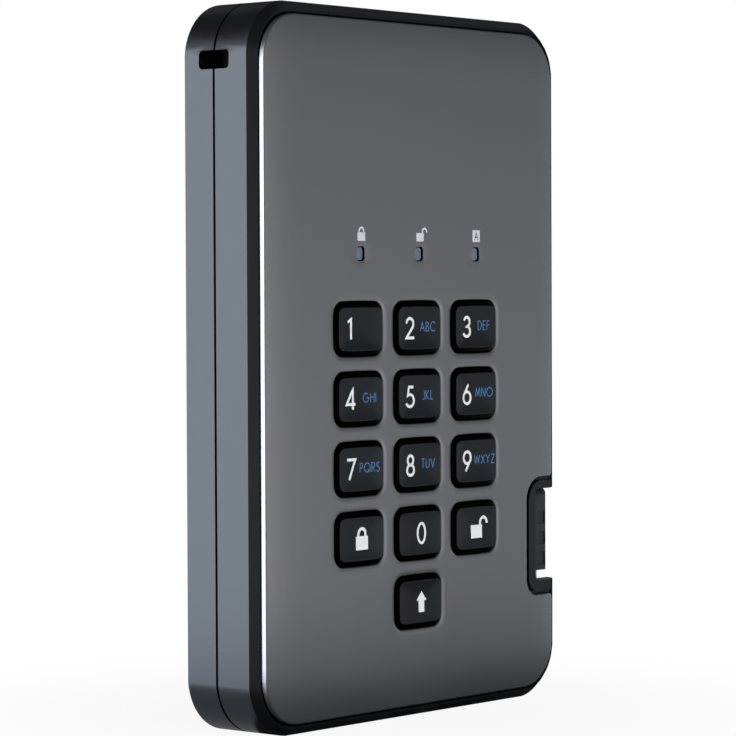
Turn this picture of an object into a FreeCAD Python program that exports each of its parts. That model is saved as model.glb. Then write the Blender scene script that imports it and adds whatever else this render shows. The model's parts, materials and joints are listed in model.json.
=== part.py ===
import FreeCAD, Part
import math
import os
from FreeCAD import Vector

# A portable drive with a keypad lock, standing on its lower end. Millimetres.
# X runs to the right, Y to the back and Z up, from the middle of the lower end.
# A depth is measured from the front of the face plate towards the back.

# Case
case_width = 84.0
case_height = 124.0
case_depth = 20.0
corner_radius = 10.0
wall = 2.0
front_wall = 1.8
back_wall = 1.8

# Front bezel and back bevel
bezel_front = 0.85
bezel_edge = 2.26
bezel_width = 1.25
bezel_land = 0.2
bevel_after_drive = 0.17
back_bevel_width = 6.0
inner_bevel_trim = 0.9

# Joint between the two shells
parting_depth = 9.5
groove_width = 0.5
groove_cut = 0.6
lip_height = 1.2
lip_thickness = 0.7
lip_clearance = 0.1
cavity_corner_cut = 6.0

# Face plate
plate_thickness = 1.2
plate_gap = 0.45
plate_edge = 0.5

# Keys
key_width = 12.6
key_height = 9.0
key_gap = 0.3
key_corner = 1.8
key_proud = 0.6
key_edge_width = 0.5
key_edge_drop = 0.5
key_pitch_x = 16.07
key_pitch_z = 12.04
key_top_row = 55.47
key_flange = 0.6
key_flange_reach = 0.7
key_flange_clearance = 0.1
key_columns = 3
key_rows = 4

# Indicator lenses
lens_width = 2.0
lens_height = 2.3
lens_corner = 0.7
lens_corner_cut = 0.55
lens_gap = 0.1
lens_recess = 0.4
lens_from_top = 42.5
lens_shift = 0.6
lens_flange = 0.6
lens_flange_reach = 0.7
led_size = 1.6
led_height = 0.6
led_clearance = 0.3

# Rubber key mat and the snap domes under it
mat_web = 0.6
mat_margin = 1.4
mat_boss_height = 1.2
mat_boss_width = 9.0
mat_boss_tall = 6.6
mat_boss_taper = 0.8
mat_hollow = 6.0
mat_roof = 0.8
mat_nub = 2.4
dome_size = 5.2
dome_crown = 2.6
dome_height = 0.35
dome_clearance = 0.1

# Main board and what stands on it
board_thickness = 1.2
board_edge_gap = 0.5
rest_rib = 1.6
rest_rib_length = 12.0
rest_rib_inset = 3.0
rest_low = 16.0
rest_from_top = 32.0
nose_reach = 1.2
nose_height = 1.0
nose_length = 6.0
nose_clearance = 0.05
controller_size = 12.0
controller_height = 1.2
controller_from_top = 34.0
bridge_size = 9.0
bridge_height = 0.9
bridge_shift = 16.0
small_part_length = 1.6
small_part_width = 0.8
small_part_pitch = 3.0
small_part_count = 6

# Solid state drive module, a standard drive of 69.85 by 100.2 by 7, which fills the room beside the plug
drive_thickness = 7.0
drive_wall = 1.2
drive_corner_cut = 1.5
drive_lid = 0.8
drive_left_gap = 1.7
drive_right_gap = 0.35
drive_low_gap = 5.0
drive_to_board = 2.3
drive_board_thickness = 1.0
drive_board_post = 1.2
drive_post = 2.4
drive_post_inset = 5.0
drive_chip_width = 14.0
drive_chip_length = 18.0
drive_chip_height = 1.2
drive_chip_pitch = 24.0
drive_plug_width = 40.0
drive_plug_length = 5.0
drive_plug_height = 2.6
drive_plug_wall = 0.6
socket_gap = 0.2
socket_width = 42.6
socket_length = 5.8
socket_height = 6.4
socket_head_room = 8.8
foam_width = 16.0
foam_margin = 14.0
foam_spacing = 36.0

# Notch for the plug in the right edge
notch_width = 10.04
notch_bottom = 19.03
notch_height = 21.36
notch_top_radius = 4.3
notch_bottom_radius = 3.0
rim_gap = 0.5
rim_level = 0.05
rim_slope = 2.75
rim_band = 2.0
rim_sill = 1.9
rim_head = 1.5
grip_corner = 1.0

# Plug that parks in the notch
plug_thickness = 8.0
plug_width = 13.4
plug_length = 16.3
plug_inset = 0.4
plug_end_gap = 1.5
plug_clearance = 0.3
plug_edge_round = 0.6
plug_shoulder = 3.0
plug_side_shoulder = 2.4
grip_slot_height = 2.4
grip_slot_width = 2.7
grip_slot_pitch = 3.8
grip_slot_first = 2.2
grip_slot_depth = 0.3
grip_slot_edge = 0.5
grip_slot_count = 3
shell_thickness = 4.5
shell_width = 12.0
shell_length = 12.0
shell_sheet = 0.3
shell_corner = 0.6
shell_window = 2.2
shell_window_from_end = 5.2
shell_window_spread = 2.9
shell_end_gap = 1.3
tongue_thickness = 1.9
tongue_clearance = 0.05
tongue_setback = 0.6
contact_width = 1.0
contact_length = 7.4
contact_thickness = 0.12
contact_pitch = 2.3
contact_count = 4
pocket_wall = 1.4

# Lead between the plug and the gland
lead_diameter = 4.2
lead_clearance = 0.3
lead_fit = 0.05
relief_size = 6.4
relief_tip = 5.2
relief_length = 8.5
relief_slots = 3
relief_slot_width = 0.8
relief_slot_depth = 0.4
relief_pitch = 2.0
gland_from_top = 20.5
gland_wall = 2.5
gland_neck = 5.8
gland_collar = 7.2
gland_collar_thickness = 1.0
lead_rise = 3.0
lead_socket_width = 6.0
lead_socket_length = 7.0
lead_socket_height = 5.4

# Security slot in the left side
lock_length = 6.8
lock_height = 3.2
lock_corner = 0.8
lock_from_top = 10.05
lock_pad = 1.0
lock_pad_low = 7.0
lock_pad_high = 3.4
lock_pad_half = 5.5
cage_depth = 4.2
cage_width = 9.0
cage_sheet = 0.8
cage_low = 5.0
cage_high = 2.9
cage_board_gap = 0.6

# Places that follow from the sizes above
face_y = (key_proud - case_depth) / 2
side_x = case_width / 2
middle_z = case_height / 2
plate_inset = bezel_width + bezel_land + plate_gap
wall_back = plate_thickness + front_wall
flange_front = wall_back + key_flange_clearance
key_back = flange_front + key_flange
web_front = key_back + mat_boss_height
board_front = web_front + mat_web
board_back = board_front + board_thickness
drive_front = board_back + drive_to_board
drive_back = drive_front + drive_thickness
back_inside = case_depth - back_wall
bevel_start = drive_back + bevel_after_drive
cut_growth = 2 - math.sqrt(2)
key_rows_z = [case_height - key_top_row - row * key_pitch_z for row in range(key_rows + 1)]
key_columns_x = [(column - (key_columns - 1) / 2) * key_pitch_x for column in range(key_columns)]
lens_z = case_height - lens_from_top
lenses_x = [x + lens_shift for x in key_columns_x]
notch_left = side_x - notch_width
notch_top = notch_bottom + notch_height
grip_left = notch_left + rim_gap + rim_band
grip_bottom = notch_bottom + rim_gap + rim_sill
grip_top = notch_top - rim_gap - rim_head
plug_x = side_x - plug_inset - plug_thickness / 2
plug_bottom = grip_bottom + plug_end_gap
plug_top = plug_bottom + plug_length
pocket_left = plug_x - plug_thickness / 2 - plug_clearance
relief_top = plug_top + relief_length
gland_bottom = case_height - gland_from_top
gland_top = gland_bottom + gland_wall
cavity_left = wall - side_x
cavity_right = pocket_left - pocket_wall
drive_left = cavity_left + drive_left_gap
drive_width = cavity_right - drive_right_gap - drive_left
drive_x = drive_left + drive_width / 2
drive_bottom = wall + drive_low_gap
drive_top = case_height - wall - socket_head_room - socket_length - socket_gap
board_left = cavity_left + board_edge_gap
board_right = cavity_right - board_edge_gap
board_bottom = wall + board_edge_gap
board_top = case_height - wall - board_edge_gap
lock_z = case_height - lock_from_top
controller_z = case_height - controller_from_top
pad_face = cavity_left + lock_pad
lead_top = gland_top + lead_rise
collar_bottom = gland_bottom + (gland_wall - gland_collar_thickness) / 2
collar_top = collar_bottom + gland_collar_thickness
key_names = [
    ("1", "2", "3"),
    ("4", "5", "6"),
    ("7", "8", "9"),
    ("lock", "0", "unlock"),
]


def key_places():
    """Name and centre of every key: the full rows, then the single key below the middle column."""
    places = []
    for row, names in enumerate(key_names):
        for column, name in enumerate(names):
            places.append(("key_" + name, key_columns_x[column], key_rows_z[row]))
    places.append(("key_shift", key_columns_x[key_columns // 2], key_rows_z[key_rows]))
    return places


def board_holds():
    """Heights of the ribs and noses that hold the board, and the wall on each side of it."""
    heights = (rest_low, case_height - rest_from_top)
    return [(wall_x, z) for wall_x in (cavity_left, cavity_right) for z in heights]


def path_wire(points, radii, depth, rounded=True):
    """Closed upright wire through square corners, each rounded or cut off by its own amount."""
    y = face_y + depth
    count = len(points)
    edges = []
    starts = []
    ends = []
    middles = []
    for index, (x, z) in enumerate(points):
        before = Vector(points[index - 1][0], y, points[index - 1][1])
        after = Vector(points[(index + 1) % count][0], y, points[(index + 1) % count][1])
        corner = Vector(x, y, z)
        coming = (corner - before).normalize()
        going = (after - corner).normalize()
        radius = radii[index]
        starts.append(corner - coming * radius)
        ends.append(corner + going * radius)
        middles.append(corner + (going - coming) * radius * (1 - math.sqrt(0.5)))
    for index in range(count):
        if radii[index] > 0 and rounded:
            edges.append(Part.Arc(starts[index], middles[index], ends[index]).toShape())
        elif radii[index] > 0:
            edges.append(Part.LineSegment(starts[index], ends[index]).toShape())
        edges.append(Part.LineSegment(ends[index], starts[(index + 1) % count]).toShape())
    return Part.Wire(edges)


def rectangle(left, right, bottom, top, radii, depth):
    """Upright rectangle; the radii go round from the lower left corner."""
    points = [(left, bottom), (right, bottom), (right, top), (left, top)]
    return path_wire(points, radii, depth)


def centred_rectangle(x, z, width, height, radius, depth):
    """Upright rectangle about a centre, with equal corners."""
    left = x - width / 2
    bottom = z - height / 2
    return rectangle(left, left + width, bottom, bottom + height, [radius] * 4, depth)


def prism(wire, length):
    """Solid that runs back from an upright wire."""
    return Part.Face(wire).extrude(Vector(0, length, 0))


def block(left, right, front, back, bottom, top):
    """Plain box between two depths."""
    corner = Vector(left, face_y + front, bottom)
    return Part.makeBox(right - left, back - front, top - bottom, corner)


def frustum(x, z, front, back, front_size, back_size):
    """Square-cornered tapered block; each size is a width and a height."""
    near_w, near_h = front_size
    far_w, far_h = back_size
    return Part.makeWedge(
        x - near_w / 2,
        face_y + front,
        z - near_h / 2,
        z - far_h / 2,
        x - far_w / 2,
        x + near_w / 2,
        face_y + back,
        z + near_h / 2,
        z + far_h / 2,
        x + far_w / 2,
    )


def centred_block(x, z, width, height, front, back):
    """Plain box about a centre, between two depths."""
    return block(x - width / 2, x + width / 2, front, back, z - height / 2, z + height / 2)


def plug_block(thick, wide, low, high):
    """Upright block about the plug's line."""
    y = face_y + parting_depth
    return Part.makeBox(thick, wide, high - low, Vector(plug_x - thick / 2, y - wide / 2, low))


def upright_block(size, low, high):
    """Square block round the lead's upright line."""
    return plug_block(size, size, low, high)


def lead_cylinder(radius, low, high):
    """Cylinder along the lead's upright line."""
    return Part.makeCylinder(radius, high - low, Vector(plug_x, face_y + parting_depth, low))


def ladder_relief(low, high, start_size, end_size):
    """Tapered square sleeve with flex slots round it, from its wide end at low to its tip at high."""
    way = math.copysign(1, high - low)
    wide = start_size / 2
    tip = end_size / 2
    sleeve = Part.makeWedge(-wide, 0, -wide, -tip, -tip, wide, abs(high - low), wide, tip, tip)
    sleeve.rotate(Vector(0, 0, 0), Vector(1, 0, 0), way * 90)
    sleeve.translate(Vector(plug_x, face_y + parting_depth, low))
    for index in range(relief_slots):
        near = low + way * (index + 1) * relief_pitch
        bottom, top = sorted((near, near + way * relief_slot_width))
        core = upright_block(end_size - 2 * relief_slot_depth, bottom, top)
        sleeve = sleeve.cut(upright_block(2 * start_size, bottom, top).cut(core))
    return sleeve


def edges_at(shape, depth):
    """Edges that lie in the upright plane at one depth."""
    y = face_y + depth
    flat = []
    for edge in shape.Edges:
        box = edge.BoundBox
        if abs(box.YMin - y) < 1e-4 and abs(box.YMax - y) < 1e-4:
            flat.append(edge)
    return flat


def case_section(inset, depth):
    """Outline of the case, pulled in by an inset."""
    width = case_width - 2 * inset
    height = case_height - 2 * inset
    return centred_rectangle(0, middle_z, width, height, corner_radius - inset, depth)


def cavity_section(grow, depth):
    """Outline of the inner space, which steps round the plug pocket and the lead channel."""
    left = cavity_left - grow
    right_low = cavity_right + grow
    right_high = side_x - wall + grow
    bottom = wall - grow
    top = case_height - wall + grow
    step = gland_top - grow
    cut = cavity_corner_cut + grow * cut_growth
    points = [
        (left, bottom),
        (right_low, bottom),
        (right_low, step),
        (right_high, step),
        (right_high, top),
        (left, top),
    ]
    return path_wire(points, [cut, 0, 0, 0, cut, cut], depth, rounded=False)


def cavity_band(near, far, front, back):
    """Ring of one thickness that follows the inner space."""
    outer = prism(cavity_section(far, front), back - front)
    return outer.cut(prism(cavity_section(near, front), back - front))


def key_opening(x, z, front, back):
    """Opening that leaves the running gap all round a key."""
    width = key_width + 2 * key_gap
    height = key_height + 2 * key_gap
    return prism(centred_rectangle(x, z, width, height, key_corner + key_gap, front), back - front)


def lens_opening(x, front, back):
    """Window that a lens sits in."""
    width = lens_width + 2 * lens_gap
    height = lens_height + 2 * lens_gap
    return prism(centred_rectangle(x, lens_z, width, height, lens_corner, front), back - front)


def notch_prism(inset, front, back):
    """D-shaped region of the notch, open to the right side of the case."""
    left = notch_left + inset
    bottom = notch_bottom + inset
    top = notch_top - inset
    radii = [notch_bottom_radius - inset, 0, 0, notch_top_radius - inset]
    return prism(rectangle(left, side_x + wall, bottom, top, radii, front), back - front)


def plug_pocket():
    """Everything that is cut from the right side: finger opening, plug pocket, slot and channel."""
    outside = side_x + wall
    beyond = case_depth + wall
    radii = [grip_corner, 0, 0, grip_corner]
    opening = rectangle(grip_left, outside, grip_bottom, grip_top, radii, -wall)
    half = plug_width / 2 + plug_clearance
    plug_room_top = max(grip_top, plug_top + plug_clearance)
    shell_left = plug_x - shell_thickness / 2 - plug_clearance
    shell_half = shell_width / 2 + plug_clearance
    shell_low = plug_bottom - shell_length - shell_end_gap
    relief_half = relief_size / 2 + lead_clearance
    lead_half = lead_diameter / 2 + lead_clearance
    boot_bottom = gland_bottom - relief_length - plug_clearance
    rooms = [
        (pocket_left, half, grip_bottom, plug_room_top),
        (shell_left, shell_half, shell_low, grip_bottom),
        (plug_x - relief_half, relief_half, plug_room_top, relief_top + plug_clearance),
        (plug_x - lead_half, lead_half, relief_top + plug_clearance, boot_bottom),
        (plug_x - relief_half, relief_half, boot_bottom, gland_bottom),
    ]
    pocket = prism(opening, beyond + wall)
    for left, half_depth, low, high in rooms:
        room = block(left, outside, parting_depth - half_depth, parting_depth + half_depth, low, high)
        pocket = pocket.fuse(room)
    pocket = pocket.fuse(upright_block(gland_neck + 2 * lead_fit, gland_bottom, gland_top))
    groove = upright_block(gland_collar + 2 * lead_fit, collar_bottom - lead_fit, collar_top + lead_fit)
    return pocket.fuse(groove)


def lock_slot():
    """Slot through the left side, centred on the parting plane."""
    y = face_y + parting_depth
    half_y = lock_length / 2
    half_z = lock_height / 2
    body = Part.makeBox(
        lock_pad + 2 * wall, lock_length, lock_height, Vector(-side_x - wall, y - half_y, lock_z - half_z)
    )
    return body.makeFillet(lock_corner, [edge for edge in body.Edges if edge.BoundBox.XLength > wall])


def lock_wall_pad(front, back):
    """Thick flat stretch of the left wall round the security slot."""
    low = lock_z - lock_pad_low
    high = lock_z + lock_pad_high
    return block(cavity_left - wall / 2, pad_face, front, back, low, high)


def front_shell():
    """Front half of the case: bezel, seat for the plate, notch rim, board holds and key openings."""
    outer_back = parting_depth - groove_width / 2
    body = Part.makeLoft(
        [case_section(bezel_width, bezel_front), case_section(0, bezel_edge), case_section(0, outer_back)],
        True,
        True,
    )
    body = body.fuse(prism(case_section(groove_cut, outer_back), groove_width / 2))
    seat_inset = bezel_width + bezel_land
    seat = prism(case_section(seat_inset, 0), plate_thickness)
    body = body.cut(seat)
    rim_sections = [case_section(rim_slope, rim_level), case_section(0, bezel_edge)]
    rim = notch_prism(rim_gap, rim_level, bezel_edge).common(Part.makeLoft(rim_sections, True, True))
    body = body.fuse(rim)
    body = body.cut(prism(cavity_section(0, wall_back), parting_depth - wall_back))
    body = body.fuse(lock_wall_pad(parting_depth - lock_pad_half, parting_depth))
    rebate_front = parting_depth - lip_height - lip_clearance
    rebate = cavity_band(0, lip_thickness + 2 * lip_clearance, rebate_front, parting_depth)
    body = body.cut(rebate)
    nose_front = board_back + nose_clearance
    for wall_x, z in board_holds():
        rib_x = wall_x - math.copysign(rest_rib_inset, wall_x)
        body = body.fuse(centred_block(rib_x, z, rest_rib, rest_rib_length, wall_back, board_front))
        nose = centred_block(wall_x, z, 2 * nose_reach, nose_length, nose_front, nose_front + nose_height)
        body = body.fuse(nose)
    for name, x, z in key_places():
        width = key_width + 2 * key_gap
        height = key_height + 2 * key_gap
        body = body.cut(centred_block(x, z, width, height, 0, wall_back))
    for x in lenses_x:
        width = lens_width + 2 * lens_gap
        height = lens_height + 2 * lens_gap
        body = body.cut(centred_block(x, lens_z, width, height, 0, wall_back))
    body = body.cut(plug_pocket())
    return body.cut(lock_slot()).removeSplitter()


def rear_shell():
    """Rear half of the case: deep tray with a bevelled back and a lip that enters the front half."""
    outer_front = parting_depth + groove_width / 2
    body = Part.makeLoft(
        [
            case_section(0, outer_front),
            case_section(0, bevel_start),
            case_section(back_bevel_width, case_depth),
        ],
        True,
        True,
    )
    body = body.fuse(prism(case_section(groove_cut, parting_depth), groove_width / 2))
    near = (case_width - 2 * wall, case_height - 2 * wall)
    shrink = 2 * (back_bevel_width - inner_bevel_trim)
    far = (near[0] - shrink, near[1] - shrink)
    space = prism(cavity_section(0, parting_depth), drive_back - parting_depth)
    deep = prism(cavity_section(0, drive_back), back_inside - drive_back)
    space = space.fuse(deep.common(frustum(0, middle_z, drive_back, back_inside, near, far)))
    body = body.cut(space)
    lip_front = parting_depth - lip_height
    lip = cavity_band(lip_clearance, lip_clearance + lip_thickness, lip_front, parting_depth)
    body = body.fuse(lip)
    body = body.fuse(lock_wall_pad(parting_depth, parting_depth + lock_pad_half))
    body = body.cut(plug_pocket())
    return body.cut(lock_slot()).removeSplitter()


def face_plate():
    """Pressed metal plate with eased edges, key openings, lens windows and the D-shaped notch."""
    body = prism(case_section(plate_inset, 0), plate_thickness)
    body = body.cut(notch_prism(0, -wall, plate_thickness + wall))
    body = body.makeChamfer(plate_edge, edges_at(body, 0))
    for name, x, z in key_places():
        body = body.cut(key_opening(x, z, -wall, plate_thickness + wall))
    for x in lenses_x:
        body = body.cut(lens_opening(x, -wall, plate_thickness + wall))
    return body


def key(x, z):
    """Hard key cap with eased edges, and the flange that keeps it behind the wall."""
    outline = centred_rectangle(x, z, key_width, key_height, key_corner, -key_proud)
    cap = prism(outline, flange_front + key_proud)
    cap = cap.makeChamfer(key_edge_drop, key_edge_width, edges_at(cap, -key_proud))
    width = key_width + 2 * (key_gap + key_flange_reach)
    height = key_height + 2 * (key_gap + key_flange_reach)
    flange = centred_block(x, z, width, height, flange_front, key_back)
    return cap.fuse(flange).removeSplitter()


def key_mat():
    """Silicone sheet on the board, with a hollow sprung boss and a nub under each key."""
    half = key_width / 2 + mat_margin
    tall = key_height / 2 + mat_margin
    left = key_columns_x[0] - half
    right = key_columns_x[-1] + half
    middle = key_columns_x[key_columns // 2]
    last_row = key_rows_z[key_rows - 1]
    web = block(left, right, web_front, board_front, last_row - tall, key_rows_z[0] + tall)
    lowest = key_rows_z[key_rows] - tall
    lower = block(middle - half, middle + half, web_front, board_front, lowest, last_row)
    web = web.fuse(lower)
    roof_back = key_back + mat_roof
    nub_back = board_front - dome_height - dome_clearance
    top = (mat_boss_width - 2 * mat_boss_taper, mat_boss_tall - 2 * mat_boss_taper)
    for name, x, z in key_places():
        web = web.fuse(frustum(x, z, key_back, web_front, top, (mat_boss_width, mat_boss_tall)))
    for name, x, z in key_places():
        room = centred_block(x, z, mat_hollow, mat_hollow, roof_back, board_front)
        web = web.cut(room.cut(centred_block(x, z, mat_nub, mat_nub, roof_back, nub_back)))
    return web.removeSplitter()


def snap_domes():
    """Four-legged metal snap domes on the board, one under each key."""
    front = board_front - dome_height
    crown = (dome_crown, dome_crown)
    base = (dome_size, dome_size)
    return Part.makeCompound([frustum(x, z, front, board_front, crown, base) for name, x, z in key_places()])


def indicator_lens(x):
    """Clear light guide in its window, with a flange behind the wall."""
    back = board_front - led_height - led_clearance
    stem = centred_block(x, lens_z, lens_width, lens_height, lens_recess, back)
    upright = [edge for edge in stem.Edges if edge.BoundBox.YLength > lens_recess]
    stem = stem.makeChamfer(lens_corner_cut, upright)
    width = lens_width + 2 * lens_flange_reach
    height = lens_height + 2 * lens_flange_reach
    flange = centred_block(x, lens_z, width, height, wall_back, wall_back + lens_flange)
    return stem.fuse(flange).removeSplitter()


def indicator_leds():
    """Light emitting diodes on the board behind the lenses."""
    half = led_size / 2
    front = board_front - led_height
    return Part.makeCompound(
        [block(x - half, x + half, front, board_front, lens_z - half, lens_z + half) for x in lenses_x]
    )


def main_board():
    """Circuit board that fills the front half, cut out round the security slot's cage."""
    notch_x = pad_face + cage_depth + cage_board_gap
    notch_low = lock_z - max(lock_pad_low, cage_low) - cage_board_gap
    wide_right = side_x - wall - board_edge_gap
    wide_low = gland_top + board_edge_gap
    cut = cavity_corner_cut - board_edge_gap * cut_growth
    points = [
        (board_left, board_bottom),
        (board_right, board_bottom),
        (board_right, wide_low),
        (wide_right, wide_low),
        (wide_right, board_top),
        (notch_x, board_top),
        (notch_x, notch_low),
        (board_left, notch_low),
    ]
    cuts = [cut, 0, 0, 0, cut, 0, 0, 0]
    return prism(path_wire(points, cuts, board_front, rounded=False), board_thickness)


def chip(x, z, width, length, front, height):
    """Flat chip on the back of a board."""
    return block(x - width / 2, x + width / 2, front, front + height, z - length / 2, z + length / 2)


def small_board_parts():
    """Row of small capacitors beside the controllers."""
    first = controller_z - (small_part_count - 1) * small_part_pitch / 2
    x = -controller_size
    return Part.makeCompound(
        [
            chip(
                x,
                first + index * small_part_pitch,
                small_part_length,
                small_part_width,
                board_back,
                small_part_width,
            )
            for index in range(small_part_count)
        ]
    )


def drive_room(inset, front, back):
    """Block of the drive module with cut corners, pulled in by an inset."""
    right = drive_left + drive_width - inset
    body = block(drive_left + inset, right, front, back, drive_bottom + inset, drive_top - inset)
    across = [edge for edge in body.Edges if edge.BoundBox.YLength > edge.Length / 2]
    return body.makeChamfer(drive_corner_cut, across)


def drive_plug_room(front, back, clearance):
    """Space of the drive's own connector in its upper end."""
    half = drive_plug_width / 2 + clearance
    low = drive_top - drive_plug_length - clearance
    return block(drive_x - half, drive_x + half, front - clearance, back + clearance, low, drive_top)


def drive_board_front():
    """Depth of the drive's own circuit board."""
    return drive_front + drive_wall + drive_board_post


def drive_plug_span():
    """Front and back depths of the drive's own connector, which stands on its board."""
    front = drive_board_front() + drive_board_thickness
    return front, drive_back - drive_lid


def drive_base():
    """Metal tray of the drive module, with posts for its board and an opening for its connector."""
    open_back = drive_back - drive_lid
    body = drive_room(0, drive_front, open_back)
    body = body.cut(drive_room(drive_wall, drive_front + drive_wall, open_back))
    front, back = drive_plug_span()
    body = body.cut(drive_plug_room(drive_board_front(), back, lead_clearance))
    floor = drive_front + drive_wall
    ceiling = floor + drive_board_post
    for x in (drive_left + drive_post_inset, drive_left + drive_width - drive_post_inset):
        for z in (drive_bottom + drive_post_inset, drive_top - drive_post_inset):
            body = body.fuse(centred_block(x, z, drive_post, drive_post, floor, ceiling))
    return body.removeSplitter()


def drive_lid_sheet():
    """Sheet lid that closes the back of the drive module."""
    return drive_room(0, drive_back - drive_lid, drive_back)


def drive_board():
    """Circuit board inside the drive module."""
    front = drive_board_front()
    inset = drive_wall + lead_clearance
    return drive_room(inset, front, front + drive_board_thickness)


def drive_chips():
    """Memory chips in two columns on the drive's board."""
    front = drive_board_front() + drive_board_thickness
    chips = []
    for x in (drive_x - drive_chip_length / 2 - drive_wall, drive_x + drive_chip_length / 2 + drive_wall):
        for step in (-1, 0, 1):
            z = (drive_bottom + drive_top) / 2 + step * drive_chip_pitch
            chips.append(chip(x, z, drive_chip_width, drive_chip_length, front, drive_chip_height))
    return Part.makeCompound(chips)


def drive_plug():
    """Connector in the drive's upper end, with its slot for the board's socket."""
    front, back = drive_plug_span()
    body = drive_plug_room(front, front + drive_plug_height, 0)
    slot_wall = drive_plug_wall
    half = drive_plug_width / 2 - slot_wall
    slot = block(
        drive_x - half,
        drive_x + half,
        front + slot_wall,
        front + drive_plug_height - slot_wall,
        drive_top - drive_plug_length + slot_wall,
        drive_top,
    )
    tongue = block(
        drive_x - half,
        drive_x + half,
        front + 2 * slot_wall,
        front + 3 * slot_wall,
        drive_top - drive_plug_length + slot_wall,
        drive_top - slot_wall,
    )
    return body.cut(slot.cut(tongue))


def drive_socket():
    """Socket on the main board that the drive's connector faces."""
    low = drive_top + socket_gap
    half = socket_width / 2
    socket_back = board_back + socket_height
    body = block(drive_x - half, drive_x + half, board_back, socket_back, low, low + socket_length)
    front, back = drive_plug_span()
    slit = block(
        drive_x - drive_plug_width / 2,
        drive_x + drive_plug_width / 2,
        front,
        front + drive_wall,
        low,
        low + socket_length - drive_wall,
    )
    return body.cut(slit)


def foam_pads():
    """Two foam strips between the drive module and the back wall."""
    low = drive_bottom + foam_margin
    high = drive_top - foam_margin
    pads = []
    for x in (drive_x - foam_spacing / 2, drive_x + foam_spacing / 2):
        pads.append(block(x - foam_width / 2, x + foam_width / 2, drive_back, back_inside, low, high))
    return Part.makeCompound(pads)


def lock_cage():
    """Steel cup behind the security slot, open towards the slot."""
    half = cage_width / 2
    low = lock_z - cage_low
    high = lock_z + cage_high
    front = parting_depth - half
    back = parting_depth + half
    body = block(pad_face, pad_face + cage_depth, front, back, low, high)
    room = block(
        pad_face,
        pad_face + cage_depth - cage_sheet,
        front + cage_sheet,
        back - cage_sheet,
        low + cage_sheet,
        high - cage_sheet,
    )
    return body.cut(room)


def plug_profile(half, shoulder, along_x):
    """Upright slice of the plug body with a flat end and rounded shoulders."""
    centre = Vector(plug_x, face_y + parting_depth, 0)
    side = Vector(0, 1, 0) if along_x else Vector(1, 0, 0)
    across = Vector(1, 0, 0) if along_x else Vector(0, 1, 0)
    depth = max(plug_width, plug_thickness)
    lift = Vector(0, 0, 1)
    ease = shoulder * (1 - math.sqrt(0.5))
    start = centre - across * depth / 2

    def at(sideways, height):
        return start + side * sideways + lift * height

    low_left = at(-half, plug_bottom)
    low_right = at(half, plug_bottom)
    right_turn = at(half, plug_top - shoulder)
    right_middle = at(half - ease, plug_top - ease)
    top_right = at(half - shoulder, plug_top)
    top_left = at(shoulder - half, plug_top)
    left_middle = at(ease - half, plug_top - ease)
    left_turn = at(-half, plug_top - shoulder)
    edges = [
        Part.LineSegment(low_left, low_right).toShape(),
        Part.LineSegment(low_right, right_turn).toShape(),
        Part.Arc(right_turn, right_middle, top_right).toShape(),
        Part.LineSegment(top_right, top_left).toShape(),
        Part.Arc(top_left, left_middle, left_turn).toShape(),
        Part.LineSegment(left_turn, low_left).toShape(),
    ]
    return Part.Face(Part.Wire(edges)).extrude(across * depth)


def plug_overmould():
    """Moulded grip of the plug, with finger slots on both narrow sides and a slotted strain relief."""
    body = plug_profile(plug_width / 2, plug_shoulder, True)
    body = body.common(plug_profile(plug_thickness / 2, plug_side_shoulder, False))
    column = plug_block(plug_thickness, plug_width, plug_bottom, plug_top)
    body = body.common(column.makeFillet(plug_edge_round, upright_edges(column)))
    right = plug_x + plug_thickness / 2 - grip_slot_edge
    left = right - grip_slot_width
    for index in range(grip_slot_count):
        low = plug_bottom + grip_slot_first + index * grip_slot_pitch - grip_slot_height / 2
        front = parting_depth - plug_width / 2
        back = parting_depth + plug_width / 2
        for near, far in ((front, front + grip_slot_depth), (back - grip_slot_depth, back)):
            body = body.cut(block(left, right, near, far, low, low + grip_slot_height))
    relief = ladder_relief(plug_top, relief_top, relief_size, relief_tip)
    bore = lead_cylinder(lead_diameter / 2 + lead_fit, plug_top, relief_top)
    return body.fuse(relief.cut(bore))


def upright_edges(body):
    """Vertical edges of an upright block."""
    return [edge for edge in body.Edges if edge.BoundBox.ZLength > edge.Length / 2]


def plug_shell():
    """Folded metal shell of the plug with its four latch windows."""
    low = plug_bottom - shell_length
    body = plug_block(shell_thickness, shell_width, low, plug_bottom)
    body = body.makeFillet(shell_corner, upright_edges(body))
    inside = plug_block(shell_thickness - 2 * shell_sheet, shell_width - 2 * shell_sheet, low, plug_bottom)
    body = body.cut(inside)
    for spread in (-shell_window_spread, shell_window_spread):
        depth = parting_depth + spread
        half = shell_window / 2
        window_low = low + shell_window_from_end
        window = block(
            plug_x - shell_thickness,
            plug_x + shell_thickness,
            depth - half,
            depth + half,
            window_low,
            window_low + shell_window,
        )
        body = body.cut(window)
    return body


def tongue_face():
    """Side position of the tongue's contact face."""
    return plug_x - shell_thickness / 2 + shell_sheet + tongue_clearance + tongue_thickness


def plug_tongue():
    """Plastic tongue that carries the contacts inside the shell."""
    half = shell_width / 2 - shell_sheet - tongue_clearance - shell_corner
    right = tongue_face()
    low = plug_bottom - shell_length + tongue_setback
    left = right - tongue_thickness
    return block(left, right, parting_depth - half, parting_depth + half, low, plug_bottom)


def plug_contacts():
    """Flat contact strips on the tongue."""
    left = tongue_face()
    high = plug_bottom - tongue_setback
    strips = []
    for index in range(contact_count):
        depth = parting_depth + (index - (contact_count - 1) / 2) * contact_pitch
        half = contact_width / 2
        strips.append(
            block(left, left + contact_thickness, depth - half, depth + half, high - contact_length, high)
        )
    return Part.makeCompound(strips)


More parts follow.
